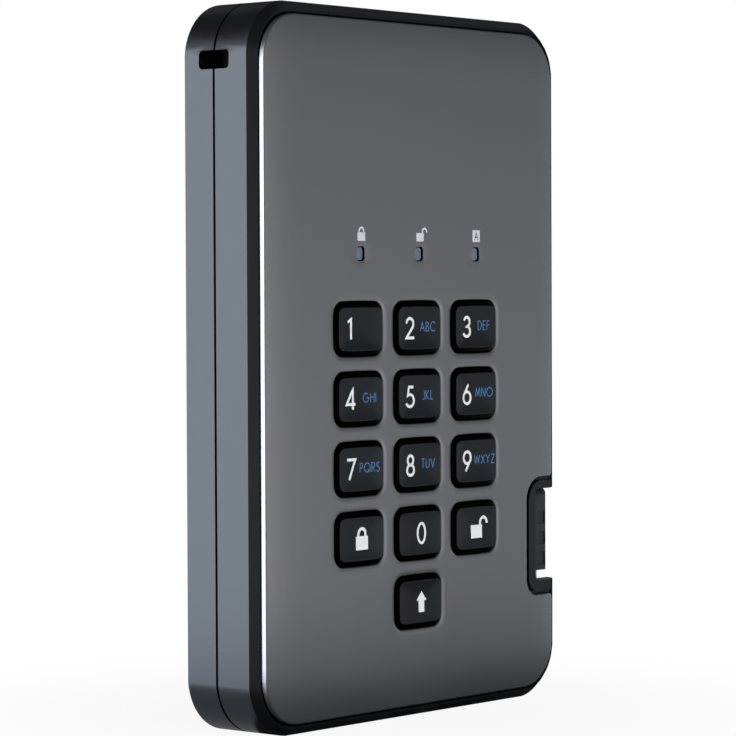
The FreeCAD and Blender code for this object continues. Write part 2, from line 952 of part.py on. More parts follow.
def cable_gland():
    """Rubber boot where the lead enters the case, with a neck and a collar held by both shells."""
    low = gland_bottom - relief_length
    body = ladder_relief(gland_bottom, low, relief_size, relief_tip)
    body = body.fuse(upright_block(gland_neck, gland_bottom, gland_top))
    body = body.fuse(upright_block(gland_collar, collar_bottom, collar_top))
    return body.cut(lead_cylinder(lead_diameter / 2 + lead_fit, low, gland_top)).removeSplitter()


def usb_lead():
    """Round lead from the plug straight up its channel, through the gland and into its socket."""
    return lead_cylinder(lead_diameter / 2, plug_top, lead_top)


def lead_socket():
    """Board connector that takes the inner end of the lead."""
    left = plug_x - lead_socket_width / 2
    right = plug_x + lead_diameter / 2
    back = board_back + lead_socket_height
    return block(left, right, board_back, back, lead_top, lead_top + lead_socket_length)


def build():
    """Every node by name."""
    nodes = {
        "front_shell": front_shell(),
        "rear_shell": rear_shell(),
        "face_plate": face_plate(),
        "key_mat": key_mat(),
        "snap_domes": snap_domes(),
        "indicator_leds": indicator_leds(),
        "main_board": main_board(),
        "lock_controller": chip(
            0, controller_z, controller_size, controller_size, board_back, controller_height
        ),
        "bridge_controller": chip(
            bridge_shift, controller_z, bridge_size, bridge_size, board_back, bridge_height
        ),
        "small_board_parts": small_board_parts(),
        "drive_socket": drive_socket(),
        "lead_socket": lead_socket(),
        "drive_base": drive_base(),
        "drive_lid": drive_lid_sheet(),
        "drive_board": drive_board(),
        "drive_chips": drive_chips(),
        "drive_plug": drive_plug(),
        "foam_pads": foam_pads(),
        "lock_cage": lock_cage(),
        "usb_lead": usb_lead(),
        "plug_overmould": plug_overmould(),
        "plug_shell": plug_shell(),
        "plug_tongue": plug_tongue(),
        "plug_contacts": plug_contacts(),
        "cable_gland": cable_gland(),
    }
    for name, x, z in key_places():
        nodes[name] = key(x, z)
    for side, x in zip(("left", "middle", "right"), lenses_x):
        nodes["lens_" + side] = indicator_lens(x)
    return nodes


os.makedirs("parts", exist_ok=True)
for node_name, node_shape in build().items():
    node_shape.exportStep("parts/" + node_name + ".step")
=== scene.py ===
"""Looks of a portable drive with a keypad lock: face plate, keys, print, case and the captive lead.

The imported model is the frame. Lengths in this script are millimetres until a mesh is made, and a depth is
measured from the front of the face plate towards the back, as in the part's own drawing.
"""

import json
import math

import bmesh
import bpy
from mathutils import Matrix, Vector
from mathutils.geometry import delaunay_2d_cdt


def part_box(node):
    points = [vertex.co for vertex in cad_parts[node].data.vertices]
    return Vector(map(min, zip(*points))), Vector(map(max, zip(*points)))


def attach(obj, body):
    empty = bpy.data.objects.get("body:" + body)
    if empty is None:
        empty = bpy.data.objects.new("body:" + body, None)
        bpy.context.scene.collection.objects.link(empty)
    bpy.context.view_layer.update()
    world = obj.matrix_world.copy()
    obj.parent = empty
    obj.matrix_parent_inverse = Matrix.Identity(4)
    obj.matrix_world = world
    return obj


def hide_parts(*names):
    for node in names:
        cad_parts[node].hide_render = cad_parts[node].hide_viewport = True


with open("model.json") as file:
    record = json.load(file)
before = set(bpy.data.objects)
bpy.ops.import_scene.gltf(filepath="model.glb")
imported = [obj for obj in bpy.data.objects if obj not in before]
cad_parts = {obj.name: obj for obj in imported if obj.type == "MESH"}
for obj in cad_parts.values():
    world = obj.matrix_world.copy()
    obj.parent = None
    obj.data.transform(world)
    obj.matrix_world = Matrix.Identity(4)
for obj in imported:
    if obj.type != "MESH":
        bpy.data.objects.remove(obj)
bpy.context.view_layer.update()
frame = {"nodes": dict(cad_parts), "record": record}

MM = 0.001
NODES = frame["nodes"]


def millimetre_box(node):
    """Lowest and highest corner of a CAD node, in millimetres."""
    low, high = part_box(node)
    return low / MM, high / MM


# Places read from the frame
PLATE_LOW, PLATE_HIGH = millimetre_box("face_plate")
PLATE_FRONT = PLATE_LOW.y
PLATE_THICKNESS = PLATE_HIGH.y - PLATE_LOW.y
KEYS = ("1", "2", "3", "4", "5", "6", "7", "8", "9", "lock", "0", "unlock", "shift")
LENSES = ("left", "middle", "right")

# Lengths and areas below these count as nothing
LEAST_LENGTH = 1e-6
LEAST_AREA = 1e-4

# Face plate, whose drawn edge leaves the dark gap above, below and to its right open
PLATE_GAP_RIGHT = 0.3
PLATE_GAP_TOP = 0.42
PLATE_GAP_BOTTOM = 0.2
PLATE_LEFT = PLATE_LOW.x
PLATE_RIGHT = PLATE_HIGH.x - PLATE_GAP_RIGHT
PLATE_TOP = PLATE_HIGH.z - PLATE_GAP_TOP
PLATE_BOTTOM = PLATE_LOW.z + PLATE_GAP_BOTTOM
PLATE_MIDDLE_X = (PLATE_LEFT + PLATE_RIGHT) / 2
PLATE_MIDDLE_Z = (PLATE_BOTTOM + PLATE_TOP) / 2
PLATE_HALF_WIDTH = (PLATE_RIGHT - PLATE_LEFT) / 2
PLATE_HALF_HEIGHT = (PLATE_TOP - PLATE_BOTTOM) / 2
PLATE_CORNER = 8.1
PLATE_ROUND = 0.2
PLATE_CROWN = 0.32
PLATE_CROWN_WIDTH = 9.0
PLATE_CROWN_POWER = 3
PLATE_RISE = 0.28
PLATE_GRID = 1.6
PLATE_GRID_MARGIN = 0.64
ROUND_STEPS = 5
LIP_STEPS = 4

# Rim of the plate, the thin ring between it and the bezel, which is painted shade of the gap there, and the
# rows of faces that carry that painted shade on the rim and on the openings' walls
RIM_LIP = 0.4
RIM_FLARE = 0.2
RIM_FOOT = 0.81
SHADE_RIM_WIDTH = 0.42
SHADE_RIM_BACK = 0.86
SHADE_RIM_IN_NOTCH = 0.02
SHADE_RIM_ROWS = 4
HOLE_SHADE_ROWS = 1

# Notch for the plug in the plate's right side
NOTCH_LEFT = 31.76
NOTCH_LOW = 18.83
NOTCH_HIGH = 40.59
NOTCH_TOP_CORNER = 4.3
NOTCH_LOW_CORNER = 3.0
NOTCH_TIP = 0.8

# Keys and the openings round them
OPENING_GAP = 0.3
OPENING_CORNER = 2.1
OPENING_ROUND = 0.25
OPENING_LIP = 0.8
OPENING_LIP_DROP = 0.1
PILLOW = 0.15
KEY_HALF_WIDTH = 6.3
KEY_HALF_HEIGHT = 4.5
KEY_CORNER = 1.8
KEY_FACE_HALF_WIDTH = 5.75
KEY_FACE_HALF_HEIGHT = 3.75
KEY_FACE_CORNER = 1.2
KEY_FACE_PILLOW = 0.09
KEY_FACE_DEPTH = -0.58
KEY_DISH = 0.28
# Share of the way from the key's side to its face, and the depth there
KEY_SHOULDER = ((0.0, 0.30), (0.02, 0.02), (0.06, -0.06), (0.15, -0.14), (0.5, -0.34), (0.82, -0.51),
                (0.92, -0.55), (1.0, KEY_FACE_DEPTH))
# Rings of the dished face, as shares of its edge
KEY_DISH_SHARES = (0.93, 0.8, 0.65, 0.5, 0.35, 0.2, 0.07)
KEY_RUNS = 7
KEY_FLANGE_NEAR = 3.1
KEY_FLANGE_FAR = 3.7
KEY_FLANGE_REACH = 1.0

# Indicator windows and lenses
WINDOW_HALF_WIDTH = 1.1
WINDOW_HALF_HEIGHT = 1.25
WINDOW_CORNER = 0.7
WINDOW_ROUND = 0.12
WINDOW_STEP = 0.6
LENS_GAP = 0.1
LENS_CORNER = 0.6
LENS_FLANGE = 0.6
LENS_DOME = 0.05
LENS_EDGE = 0.12
LENS_EDGE_STEPS = 6
# Rings of the domed front, as shares of its edge
LENS_DOME_SHARES = (0.7, 0.4, 0.15)

# Print on the keys and over the windows
INK_HEIGHT = 0.02
INK_STEP = 0.4
INK_SINK = 0.05
INK_SHARP_ANGLE = 20
CLOSED_STROKE = 1e-4
MITRE_LIMIT = 2.2
GLYPH_ARC_LEAST = 4
GLYPH_ARC_DEGREES = 12
DIGIT_HEIGHT = 3.94
DIGIT_LINE = 0.5
DIGIT_RISE = -0.02
DIGIT_SHIFT = -2.4
ONE_SHIFT = -2.75
ZERO_SHIFT = 0.62
ZERO_LINE = 0.48
LETTER_HEIGHT = 1.75
LETTER_LINE = 0.18
LETTER_SPACING = 0.27
LETTER_RISE = 0.2
LETTER_SHIFT = 2.5
LEGEND_LOW = -1.9
LOCK_WIDTH = 3.2
LOCK_HEIGHT = 3.95
LOCK_SHIFT = 0.4
UNLOCK_SHIFT = 0.25
LOCK_BODY_SHARE = 0.6
LOCK_LINE_SHARE = 0.17
LOCK_SHACKLE_SHARE = 0.58
LOCK_SHACKLE_SINK = 0.2
LOCK_SHACKLE_LIFT = 0.35
ARROW_HIGH = 1.82
ARROW_HEAD = 1.65
ARROW_HALF = 1.38
ARROW_STEM = 0.78
ARROW_OVERLAP = 0.1
ARROW_SHIFT = 0.55
ICON_RISE = 2.2
ICON_SHIFT = 0.15
ICON_WIDTH = 2.05
ICON_HEIGHT = 2.45
ICON_BOX = 2.1
ICON_LETTER_HEIGHT = 1.512
ICON_LETTER_LINE = 0.21
ICON_LETTER_LIFT = 0.008

# Steps of a rounded corner, the length of a step on its straight runs, and the angle of a sharp edge
ARC_STEPS = 8
RUN_STEP = 1.5
PLATE_RUN_STEP = 2.0
SHARP_ANGLE = 35


# Outlines

def rounded_path(corners, radii, run_step, runs=None):
    """Closed outline through the corners, counter-clockwise, each corner rounded by its radius.

    Its straight runs are divided into steps of about run_step, or into the number of pieces given.
    """
    outline = []
    count = len(corners)
    for i, (corner, radius) in enumerate(zip(corners, radii)):
        before = (Vector(corners[i - 1]) - Vector(corner)).normalized()
        after = (Vector(corners[(i + 1) % count]) - Vector(corner)).normalized()
        half_angle = before.angle(after) / 2
        middle = (before + after).normalized()
        centre = Vector(corner) + middle * (radius / math.sin(half_angle))
        reach = radius / math.tan(half_angle)
        start = Vector(corner) + before * reach - centre
        turn = math.pi - 2 * half_angle
        if before.x * after.y - before.y * after.x > 0:
            turn = -turn
        for step in range(ARC_STEPS + 1):
            angle = turn * step / ARC_STEPS
            c, s = math.cos(angle), math.sin(angle)
            outline.append(centre + Vector((start.x * c - start.y * s, start.x * s + start.y * c)))
    divided = []
    for k, (a, b) in enumerate(zip(outline, outline[1:] + outline[:1])):
        on_run = k % (ARC_STEPS + 1) == ARC_STEPS
        pieces = (runs or max(1, round((b - a).length / run_step))) if on_run else 1
        divided += [a.lerp(b, j / pieces) for j in range(pieces)]
    return divided


def rounded_rectangle(half_width, half_height, radius, run_step=RUN_STEP, runs=None):
    """Rounded outline about the origin."""
    corners = [(half_width, -half_height), (half_width, half_height),
               (-half_width, half_height), (-half_width, -half_height)]
    return rounded_path(corners, [radius] * 4, run_step, runs)


def pillowed(outline, half_width, half_height, bulge):
    """Pulls the corners in, so that the sides bow outwards between them."""
    return [Vector((p.x * (1 - bulge / half_width * (p.y / half_height) ** 2),
                    p.y * (1 - bulge / half_height * (p.x / half_width) ** 2))) for p in outline]


def grown(outline, distance):
    """The outline moved outwards by a distance, along its own normals."""
    moved = []
    for a, p, b in zip(outline[-1:] + outline[:-1], outline, outline[1:] + outline[:1]):
        along = (p - a).normalized() + (b - p).normalized()
        moved.append(p + Vector((along.y, -along.x)).normalized() * distance)
    return moved


def shifted(outline, x, z):
    """The outline moved to a place."""
    return [p + Vector((x, z)) for p in outline]


def inside(outline, point):
    """Whether a point lies within an outline."""
    within = False
    for a, b in zip(outline, outline[1:] + outline[:1]):
        if (a.y > point.y) != (b.y > point.y):
            if point.x < a.x + (b.x - a.x) * (point.y - a.y) / (b.y - a.y):
                within = not within
    return within


def outline_box(outline):
    """Left, right, lower and upper limit of an outline."""
    xs = [p.x for p in outline]
    zs = [p.y for p in outline]
    return min(xs), max(xs), min(zs), max(zs)


def in_box(box, point, margin=0.0):
    """Whether a point lies within a box, or within a margin of it."""
    left, right, low, high = box
    return left - margin < point.x < right + margin and low - margin < point.y < high + margin


# Meshes

def at(point, depth):
    """A point of the front view at a depth behind the plate's front, in metres."""
    return Vector((point.x, PLATE_FRONT + depth, point.y)) * MM


def linked(name, data):
    """A new object of the scene."""
    made = bpy.data.objects.new(name, data)
    bpy.context.scene.collection.objects.link(made)
    return made


def piece(name, vertices, faces, finish, body="case", replaced=(), sharp=SHARP_ANGLE):
    """A closed mesh as a piece of the object, on its body, in place of CAD nodes."""
    mesh = bpy.data.meshes.new(name)
    mesh.from_pydata([tuple(v) for v in vertices], [], faces)
    bm = bmesh.new()
    bm.from_mesh(mesh)
    bmesh.ops.recalc_face_normals(bm, faces=bm.faces)
    bm.to_mesh(mesh)
    bm.free()
    mesh.shade_smooth()
    mesh.set_sharp_from_angle(angle=math.radians(sharp))
    mesh.materials.append(finish)
    shown = linked(name, mesh)
    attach(shown, body)
    if replaced:
        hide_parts(*replaced)
    return shown


def joined_rings(rings, closed=True):
    """Vertices and faces of rings with the same number of points, joined one after the other."""
    count = len(rings[0])
    vertices = [v for ring in rings for v in ring]
    faces = []
    for row in range(len(rings) - 1):
        for k in range(count):
            n = (k + 1) % count
            faces.append((row * count + k, row * count + n, (row + 1) * count + n, (row + 1) * count + k))
    if closed:
        faces.append(tuple(range(count)))
        faces.append(tuple(range((len(rings) - 1) * count, len(rings) * count)))
    return vertices, faces


# Materials

MOTTLE_DETAIL = 4.0
MOTTLE_LOW = 0.3
MOTTLE_HIGH = 0.7
GRAIN_DETAIL = 2.0
LEAST_ROUGHNESS = 0.02
BUMP_STRENGTH = 0.5


def surface(name, colour, roughness, metallic=0.0, mottle=0.12, mottle_scale=60.0, grain_scale=2500.0,
            grain_depth=0.012, roughness_spread=0.06, stretch=(1, 1, 1), settings=()):
    """A material with colour mottle, a spread of roughness and a fine bump, all from noise.

    The noise lies in the object's frame, and the grain's depth is in millimetres.
    """
    made = bpy.data.materials.new(name)
    made.use_nodes = True
    nodes, links = made.node_tree.nodes, made.node_tree.links
    shader = nodes["Principled BSDF"]
    shader.inputs["Metallic"].default_value = metallic
    for socket, value in settings:
        shader.inputs[socket].default_value = value
    place = nodes.new("ShaderNodeTexCoord")
    stretched = nodes.new("ShaderNodeMapping")
    stretched.inputs["Scale"].default_value = stretch
    links.new(place.outputs["Object"], stretched.inputs["Vector"])

    broad = nodes.new("ShaderNodeTexNoise")
    broad.inputs["Scale"].default_value = mottle_scale
    broad.inputs["Detail"].default_value = MOTTLE_DETAIL
    links.new(stretched.outputs["Vector"], broad.inputs["Vector"])
    tone = nodes.new("ShaderNodeValToRGB")
    tone.color_ramp.elements[0].position = MOTTLE_LOW
    tone.color_ramp.elements[1].position = MOTTLE_HIGH
    tone.color_ramp.elements[0].color = (*[c * (1 - mottle) for c in colour], 1)
    tone.color_ramp.elements[1].color = (*[min(1, c * (1 + mottle)) for c in colour], 1)
    links.new(broad.outputs["Fac"], tone.inputs["Fac"])
    links.new(tone.outputs["Color"], shader.inputs["Base Color"])

    fine = nodes.new("ShaderNodeTexNoise")
    fine.inputs["Scale"].default_value = grain_scale
    fine.inputs["Detail"].default_value = GRAIN_DETAIL
    links.new(stretched.outputs["Vector"], fine.inputs["Vector"])
    gloss = nodes.new("ShaderNodeMapRange")
    gloss.inputs["To Min"].default_value = max(LEAST_ROUGHNESS, roughness - roughness_spread)
    gloss.inputs["To Max"].default_value = min(1.0, roughness + roughness_spread)
    links.new(fine.outputs["Fac"], gloss.inputs["Value"])
    links.new(gloss.outputs["Result"], shader.inputs["Roughness"])
    bump = nodes.new("ShaderNodeBump")
    bump.inputs["Strength"].default_value = BUMP_STRENGTH
    bump.inputs["Distance"].default_value = grain_depth * MM
    links.new(fine.outputs["Fac"], bump.inputs["Height"])
    links.new(bump.outputs["Normal"], shader.inputs["Normal"])
    return made


CASE_PLASTIC = surface("case_plastic", (0.0035, 0.0042, 0.0052), 0.32, mottle=0.06, grain_scale=3000,
                       grain_depth=0.01, settings=[("Specular Tint", (0.80, 0.90, 1.0, 1))])
PLATE_METAL = surface("plate_metal", (0.296, 0.305, 0.326), 0.33, metallic=0.9, mottle=0.02, mottle_scale=25,
                      grain_scale=900, grain_depth=0.004, roughness_spread=0.03, stretch=(1, 1, 0.06))
KEY_PLASTIC = surface("key_plastic", (0.004, 0.0045, 0.0055), 0.22, mottle=0.08, grain_scale=3500,
                      grain_depth=0.004, settings=[("Specular Tint", (0.74, 0.88, 0.98, 1))])
# Painted shade: a near-black copy of the key plastic with almost no gloss, on each key's side and shoulder,
# for the shade in the opening round the key
KEY_SIDE_SHADE = surface("key_side", (0.0003, 0.0003, 0.0004), 0.25, mottle=0.1, grain_scale=3500,
                   grain_depth=0.003, settings=[("Specular IOR Level", 0.02)])
# Painted shade: near black and hardly glossy, for the ring round the plate and the walls of the openings,
# where the gaps lie in shade
PAINTED_GAP_SHADE = surface("painted_gap_shade", (0.0006, 0.0006, 0.0007), 0.6,
                 settings=[("Specular IOR Level", 0.05)])
LENS_PLASTIC = surface("lens_plastic", (0.12, 0.16, 0.22), 0.12, mottle=0.1, mottle_scale=400,
                       grain_depth=0.002)


def ink_finish(name, colour, mottle=0.04):
    """Print, a little uneven in tone."""
    return surface(name, colour, 0.5, mottle=mottle, mottle_scale=900, grain_depth=0.004)


WHITE_INK = ink_finish("white_ink", (0.80, 0.81, 0.82))
GREY_INK = ink_finish("grey_ink", (0.58, 0.60, 0.63))
DARK_INK = ink_finish("dark_ink", (0.10, 0.105, 0.115))
BLUE_INK = ink_finish("blue_ink", (0.065, 0.175, 0.38), 0.06)

# Finish of each material slot in the record
FINISHES = {
    "case_plastic": CASE_PLASTIC,
    "plate_metal": PLATE_METAL,
    "key_plastic": KEY_PLASTIC,
    "lens_plastic": LENS_PLASTIC,
    "mat_silicone": surface("mat_silicone", (0.10, 0.10, 0.11), 0.55, grain_depth=0.02),
    "dome_steel": surface("dome_steel", (0.62, 0.61, 0.58), 0.28, metallic=1.0),
    "led_resin": surface("led_resin", (0.75, 0.70, 0.45), 0.3, mottle_scale=500),
    "board_laminate": surface("board_laminate", (0.01, 0.09, 0.035), 0.4, mottle=0.25, mottle_scale=200),
    "chip_resin": surface("chip_resin", (0.018, 0.018, 0.02), 0.55, grain_depth=0.02),
    "capacitor_ceramic": surface("capacitor_ceramic", (0.35, 0.22, 0.12), 0.4),
    "connector_plastic": surface("connector_plastic", (0.02, 0.02, 0.022), 0.4),
    "drive_metal": surface("drive_metal", (0.45, 0.46, 0.48), 0.38, metallic=1.0, stretch=(1, 1, 0.1)),
    "foam": surface("foam", (0.03, 0.03, 0.033), 0.9, mottle=0.3, grain_scale=1500, grain_depth=0.1),
    # Near black, matte and not metal: painted shade that keeps the lock slot black
    "cage_steel": surface("cage_steel", (0.004, 0.004, 0.0045), 0.6),
    "lead_jacket": surface("lead_jacket", (0.012, 0.012, 0.013), 0.5, grain_depth=0.015),
    "plug_plastic": surface("plug_plastic", (0.016, 0.018, 0.021), 0.45, grain_depth=0.012),
    "shell_steel": surface("shell_steel", (0.66, 0.66, 0.66), 0.25, metallic=1.0, mottle=0.05,
                           stretch=(1, 1, 0.1)),
    "tongue_plastic": surface("tongue_plastic", (0.01, 0.09, 0.5), 0.4),
    "contact_metal": surface("contact_metal", (0.80, 0.58, 0.22), 0.25, metallic=1.0),
    "gland_rubber": surface("gland_rubber", (0.014, 0.014, 0.015), 0.6, grain_depth=0.02),
}


# Face plate

def plate_outline():
    """The plate's edge: a rounded rectangle with the plug's notch cut into its right side."""
    left, right = PLATE_LEFT, PLATE_RIGHT
    corners = [(right, PLATE_BOTTOM), (right, NOTCH_LOW), (NOTCH_LEFT, NOTCH_LOW), (NOTCH_LEFT, NOTCH_HIGH),
               (right, NOTCH_HIGH), (right, PLATE_TOP), (left, PLATE_TOP), (left, PLATE_BOTTOM)]
    radii = [PLATE_CORNER, NOTCH_TIP, NOTCH_LOW_CORNER, NOTCH_TOP_CORNER, NOTCH_TIP, PLATE_CORNER,
             PLATE_CORNER, PLATE_CORNER]
    return rounded_path(corners, radii, PLATE_RUN_STEP)


def from_border(point):
    """Distance of a point inside the plate's border, the notch left out."""
    x = abs(point.x - PLATE_MIDDLE_X) - PLATE_HALF_WIDTH + PLATE_CORNER
    z = abs(point.y - PLATE_MIDDLE_Z) - PLATE_HALF_HEIGHT + PLATE_CORNER
    return PLATE_CORNER - math.hypot(max(x, 0), max(z, 0)) - min(max(x, z), 0)


def plate_sink(point):
    """Depth of the plate's crowned front, which rises towards its left and falls back near its border."""
    fall = PLATE_CROWN * max(0, 1 - from_border(point) / PLATE_CROWN_WIDTH) ** PLATE_CROWN_POWER
    return fall - PLATE_RISE * (1 - point.x / PLATE_HALF_WIDTH) / 2


def node_place(node):
    """Middle of a CAD node in the front view."""
    low, high = millimetre_box(node)
    return (low.x + high.x) / 2, (low.z + high.z) / 2


def key_place(name):
    """Middle of a key in the front view."""
    return node_place("key_" + name)


def lens_place(name):
    """Middle of a lens in the front view."""
    return node_place("lens_" + name)


def opening_outline(x, z):
    """Opening of the plate round a key."""
    half_width, half_height = KEY_HALF_WIDTH + OPENING_GAP, KEY_HALF_HEIGHT + OPENING_GAP
    outline = rounded_rectangle(half_width, half_height, OPENING_CORNER)
    return shifted(pillowed(outline, half_width, half_height, PILLOW), x, z)


def window_outline(x, z):
    """Window of the plate over an indicator."""
    outline = rounded_rectangle(WINDOW_HALF_WIDTH, WINDOW_HALF_HEIGHT, WINDOW_CORNER, WINDOW_STEP)
    return shifted(outline, x, z)


def edge_profile(edge_round, lip, lip_drop):
    """Steps over one edge of the plate, as the distance from its wall and the drop from the front.

    A shallow lip falls towards the edge, and a quarter round turns it into the wall.
    """
    steps = []
    for k in range(LIP_STEPS if lip else 0):
        share = k / LIP_STEPS
        steps.append((edge_round + lip * (1 - share), lip_drop * share ** 2))
    for k in range(ROUND_STEPS + 1):
        angle = math.radians(90) * k / ROUND_STEPS
        steps.append((edge_round * (1 - math.sin(angle)), lip_drop + edge_round * (1 - math.cos(angle))))
    return steps


def edge_rings(outline, inwards, profile):
    """Rings of one edge of the plate from its front, over the edge and down the wall to its back."""
    rings = []
    for reach, drop in profile:
        rings.append([at(p, drop + plate_sink(p)) for p in grown(outline, inwards * reach)])
    rings.append([at(p, PLATE_THICKNESS) for p in outline])
    return rings


def rim_rings(outline):
    """Rings of the plate's own rim, with a thin ring between it and the bezel that is painted shade of the
    gap there.

    Its left and right sides flare out to their foot and have half the ring. In the notch the rim is
    straight and the ring hardly stands out.
    """
    outwards = [q - p for p, q in zip(outline, grown(outline, 1.0))]
    shares = [max(0, 1 - from_border(p)) for p in outline]

    def ring(flare, width, depth):
        points = []
        for p, out, share in zip(outline, outwards, shares):
            upright = abs(out.x)
            shade_rim = max(SHADE_RIM_IN_NOTCH, width * (1 - upright / 2) * share) if width else 0
            points.append(at(p + out * (flare * upright * share + shade_rim), depth))
        return points

    rings = edge_rings(outline, -1, edge_profile(PLATE_ROUND, RIM_LIP, 0))
    foot = [ring(RIM_FLARE, 0, RIM_FOOT), ring(RIM_FLARE, SHADE_RIM_WIDTH, RIM_FOOT),
            ring(RIM_FLARE, SHADE_RIM_WIDTH, SHADE_RIM_BACK), [at(p, SHADE_RIM_BACK) for p in outline]]
    return rings[:-1] + foot + rings[-1:]


def build_plate():
    """The plate as one closed mesh: crowned front, flat back, and the walls of its rim and openings."""
    border = plate_outline()
    edges = [(border, grown(border, -PLATE_ROUND - RIM_LIP), rim_rings(border))]
    opening_edge = edge_profile(OPENING_ROUND, OPENING_LIP, OPENING_LIP_DROP)
    window_edge = edge_profile(WINDOW_ROUND, 0, 0)
    holes = [(opening_outline(*key_place(k)), opening_edge) for k in KEYS]
    holes += [(window_outline(*lens_place(n)), window_edge) for n in LENSES]
    edges += [(hole, grown(hole, profile[0][0]), edge_rings(hole, 1, profile)) for hole, profile in holes]
    vertices, faces, fronts, front_ids, back_ids, painted_shade_faces = [], [], [], [], [], []
    for outline, front, rings in edges:
        base = len(vertices)
        ring_vertices, ring_faces = joined_rings(rings, closed=False)
        vertices += ring_vertices
        faces += [tuple(base + i for i in f) for f in ring_faces]
        # The last rows of the rim and of each opening's wall take the near-black finish, painted shade of
        # the gaps there
        painted_shade_rows = SHADE_RIM_ROWS if outline is border else HOLE_SHADE_ROWS
        painted_shade_faces += range(len(faces) - painted_shade_rows * len(outline), len(faces))
        fronts.append(front)
        front_ids.append(range(base, base + len(outline)))
        back_ids.append(range(base + len(outline) * (len(rings) - 1), base + len(outline) * len(rings)))
    for loops, ids, grid in ((fronts, front_ids, PLATE_GRID), ([e[0] for e in edges], back_ids, None)):
        faces += flat_sheet(loops, ids, grid, vertices)
    plate = piece("plate_front", vertices, faces, PLATE_METAL, replaced=["face_plate"])
    # Second finish: the painted shade on those rows
    plate.data.materials.append(PAINTED_GAP_SHADE)
    for number in painted_shade_faces:
        plate.data.polygons[number].material_index = 1


def flat_sheet(loops, ids, grid, vertices):
    """Triangles that fill the first loop and leave the others open, on a grid of points for a bent front."""
    points, known = [], []
    for loop, numbers in zip(loops, ids):
        points += loop
        known += numbers
    bounds = []
    start = 0
    for loop in loops:
        bounds += [(start + k, start + (k + 1) % len(loop)) for k in range(len(loop))]
        start += len(loop)
    boxes = [outline_box(loop) for loop in loops[1:]]
    if grid:
        left, right, low, high = outline_box(loops[0])
        columns = int((right - left) / grid)
        rows = int((high - low) / grid)
        clear = grown(loops[0], -PLATE_GRID_MARGIN)
        for i in range(1, columns):
            for j in range(1, rows):
                p = Vector((left + (right - left) * i / columns, low + (high - low) * j / rows))
                if not inside(clear, p) or any(in_box(box, p, PLATE_GRID_MARGIN) for box in boxes):
                    continue
                points.append(p)
                known.append(len(vertices))
                vertices.append(at(p, plate_sink(p)))
    found, _, triangles, origins, _, _ = delaunay_2d_cdt(points, bounds, [], 0, LEAST_LENGTH)
    number = [known[o[0]] for o in origins]
    kept = []
    for triangle in triangles:
        a, b, c = (found[i] for i in triangle)
        centre = (a + b + c) / 3
        if abs((b - a).cross(c - a)) < LEAST_AREA or not inside(loops[0], centre):
            continue
        if any(in_box(box, centre) and inside(loop, centre) for loop, box in zip(loops[1:], boxes)):
            continue
        kept.append(tuple(number[i] for i in triangle))
    return kept


# Keys and lenses

def key_side():
    """Outline of a key's side."""
    outline = rounded_rectangle(KEY_HALF_WIDTH, KEY_HALF_HEIGHT, KEY_CORNER, runs=KEY_RUNS)
    return pillowed(outline, KEY_HALF_WIDTH, KEY_HALF_HEIGHT, PILLOW)


def key_face_edge():
    """Outline of a key's face, with as many points as its side."""
    outline = rounded_rectangle(KEY_FACE_HALF_WIDTH, KEY_FACE_HALF_HEIGHT, KEY_FACE_CORNER, runs=KEY_RUNS)
    return pillowed(outline, KEY_FACE_HALF_WIDTH, KEY_FACE_HALF_HEIGHT, KEY_FACE_PILLOW)


def build_key(name):
    """A key as one closed mesh: flange, side, rounded shoulder and dished face."""
    x, z = key_place(name)
    side, face = key_side(), key_face_edge()
    flange = grown(side, KEY_FLANGE_REACH)
    rings = []

    def ring(outline, depth):
        rings.append([at(p, depth) for p in shifted(outline, x, z)])

    ring(flange, KEY_FLANGE_FAR)
    ring(flange, KEY_FLANGE_NEAR)
    ring(side, KEY_FLANGE_NEAR)
    for share, depth in KEY_SHOULDER:
        ring([a.lerp(b, share) for a, b in zip(side, face)], depth)
    side_rows = len(rings) - 1
    for share in KEY_DISH_SHARES:
        ring([p * share for p in face], KEY_FACE_DEPTH + KEY_DISH * (1 - share ** 2))
    vertices, faces = joined_rings(rings)
    node = "key_" + name
    cap = piece("keycap_" + name, vertices, faces, KEY_PLASTIC, node, [node])
    # The side and shoulder take the near-black copy, painted shade of the opening round the key
    cap.data.materials.append(KEY_SIDE_SHADE)
    for polygon in cap.data.polygons[:len(side) * side_rows]:
        polygon.material_index = 1


def build_lens(name):
    """A lens as one closed mesh: flange, stem, rounded edge and a low dome, level with the plate there."""
    node = "lens_" + name
    low, high = millimetre_box(node)
    x, z = lens_place(name)
    half_width, half_height = WINDOW_HALF_WIDTH - LENS_GAP, WINDOW_HALF_HEIGHT - LENS_GAP
    outline = rounded_rectangle(half_width, half_height, LENS_CORNER, WINDOW_STEP)
    flange = grown(outline, (high.x - low.x) / 2 - half_width)
    front = low.y - PLATE_FRONT + plate_sink(Vector((x, z)))
    back = high.y - PLATE_FRONT
    flange_front = back - LENS_FLANGE
    rings = [[at(p, depth) for p in shifted(shape, x, z)]
             for shape, depth in ((flange, back), (flange, flange_front), (outline, flange_front))]
    for step in range(LENS_EDGE_STEPS + 1):
        angle = math.radians(90) * step / LENS_EDGE_STEPS
        shape = grown(outline, -LENS_EDGE * (1 - math.cos(angle)))
        depth = front + LENS_DOME + LENS_EDGE * (1 - math.sin(angle))
        rings.append([at(p, depth) for p in shifted(shape, x, z)])
    edge = grown(outline, -LENS_EDGE)
    for share in LENS_DOME_SHARES:
        depth = front + LENS_DOME * share ** 2
        rings.append([at(p * share + Vector((x, z)), depth) for p in edge])
    vertices, faces = joined_rings(rings)
    piece("window_" + name, vertices, faces, LENS_PLASTIC, replaced=[node])


# Print

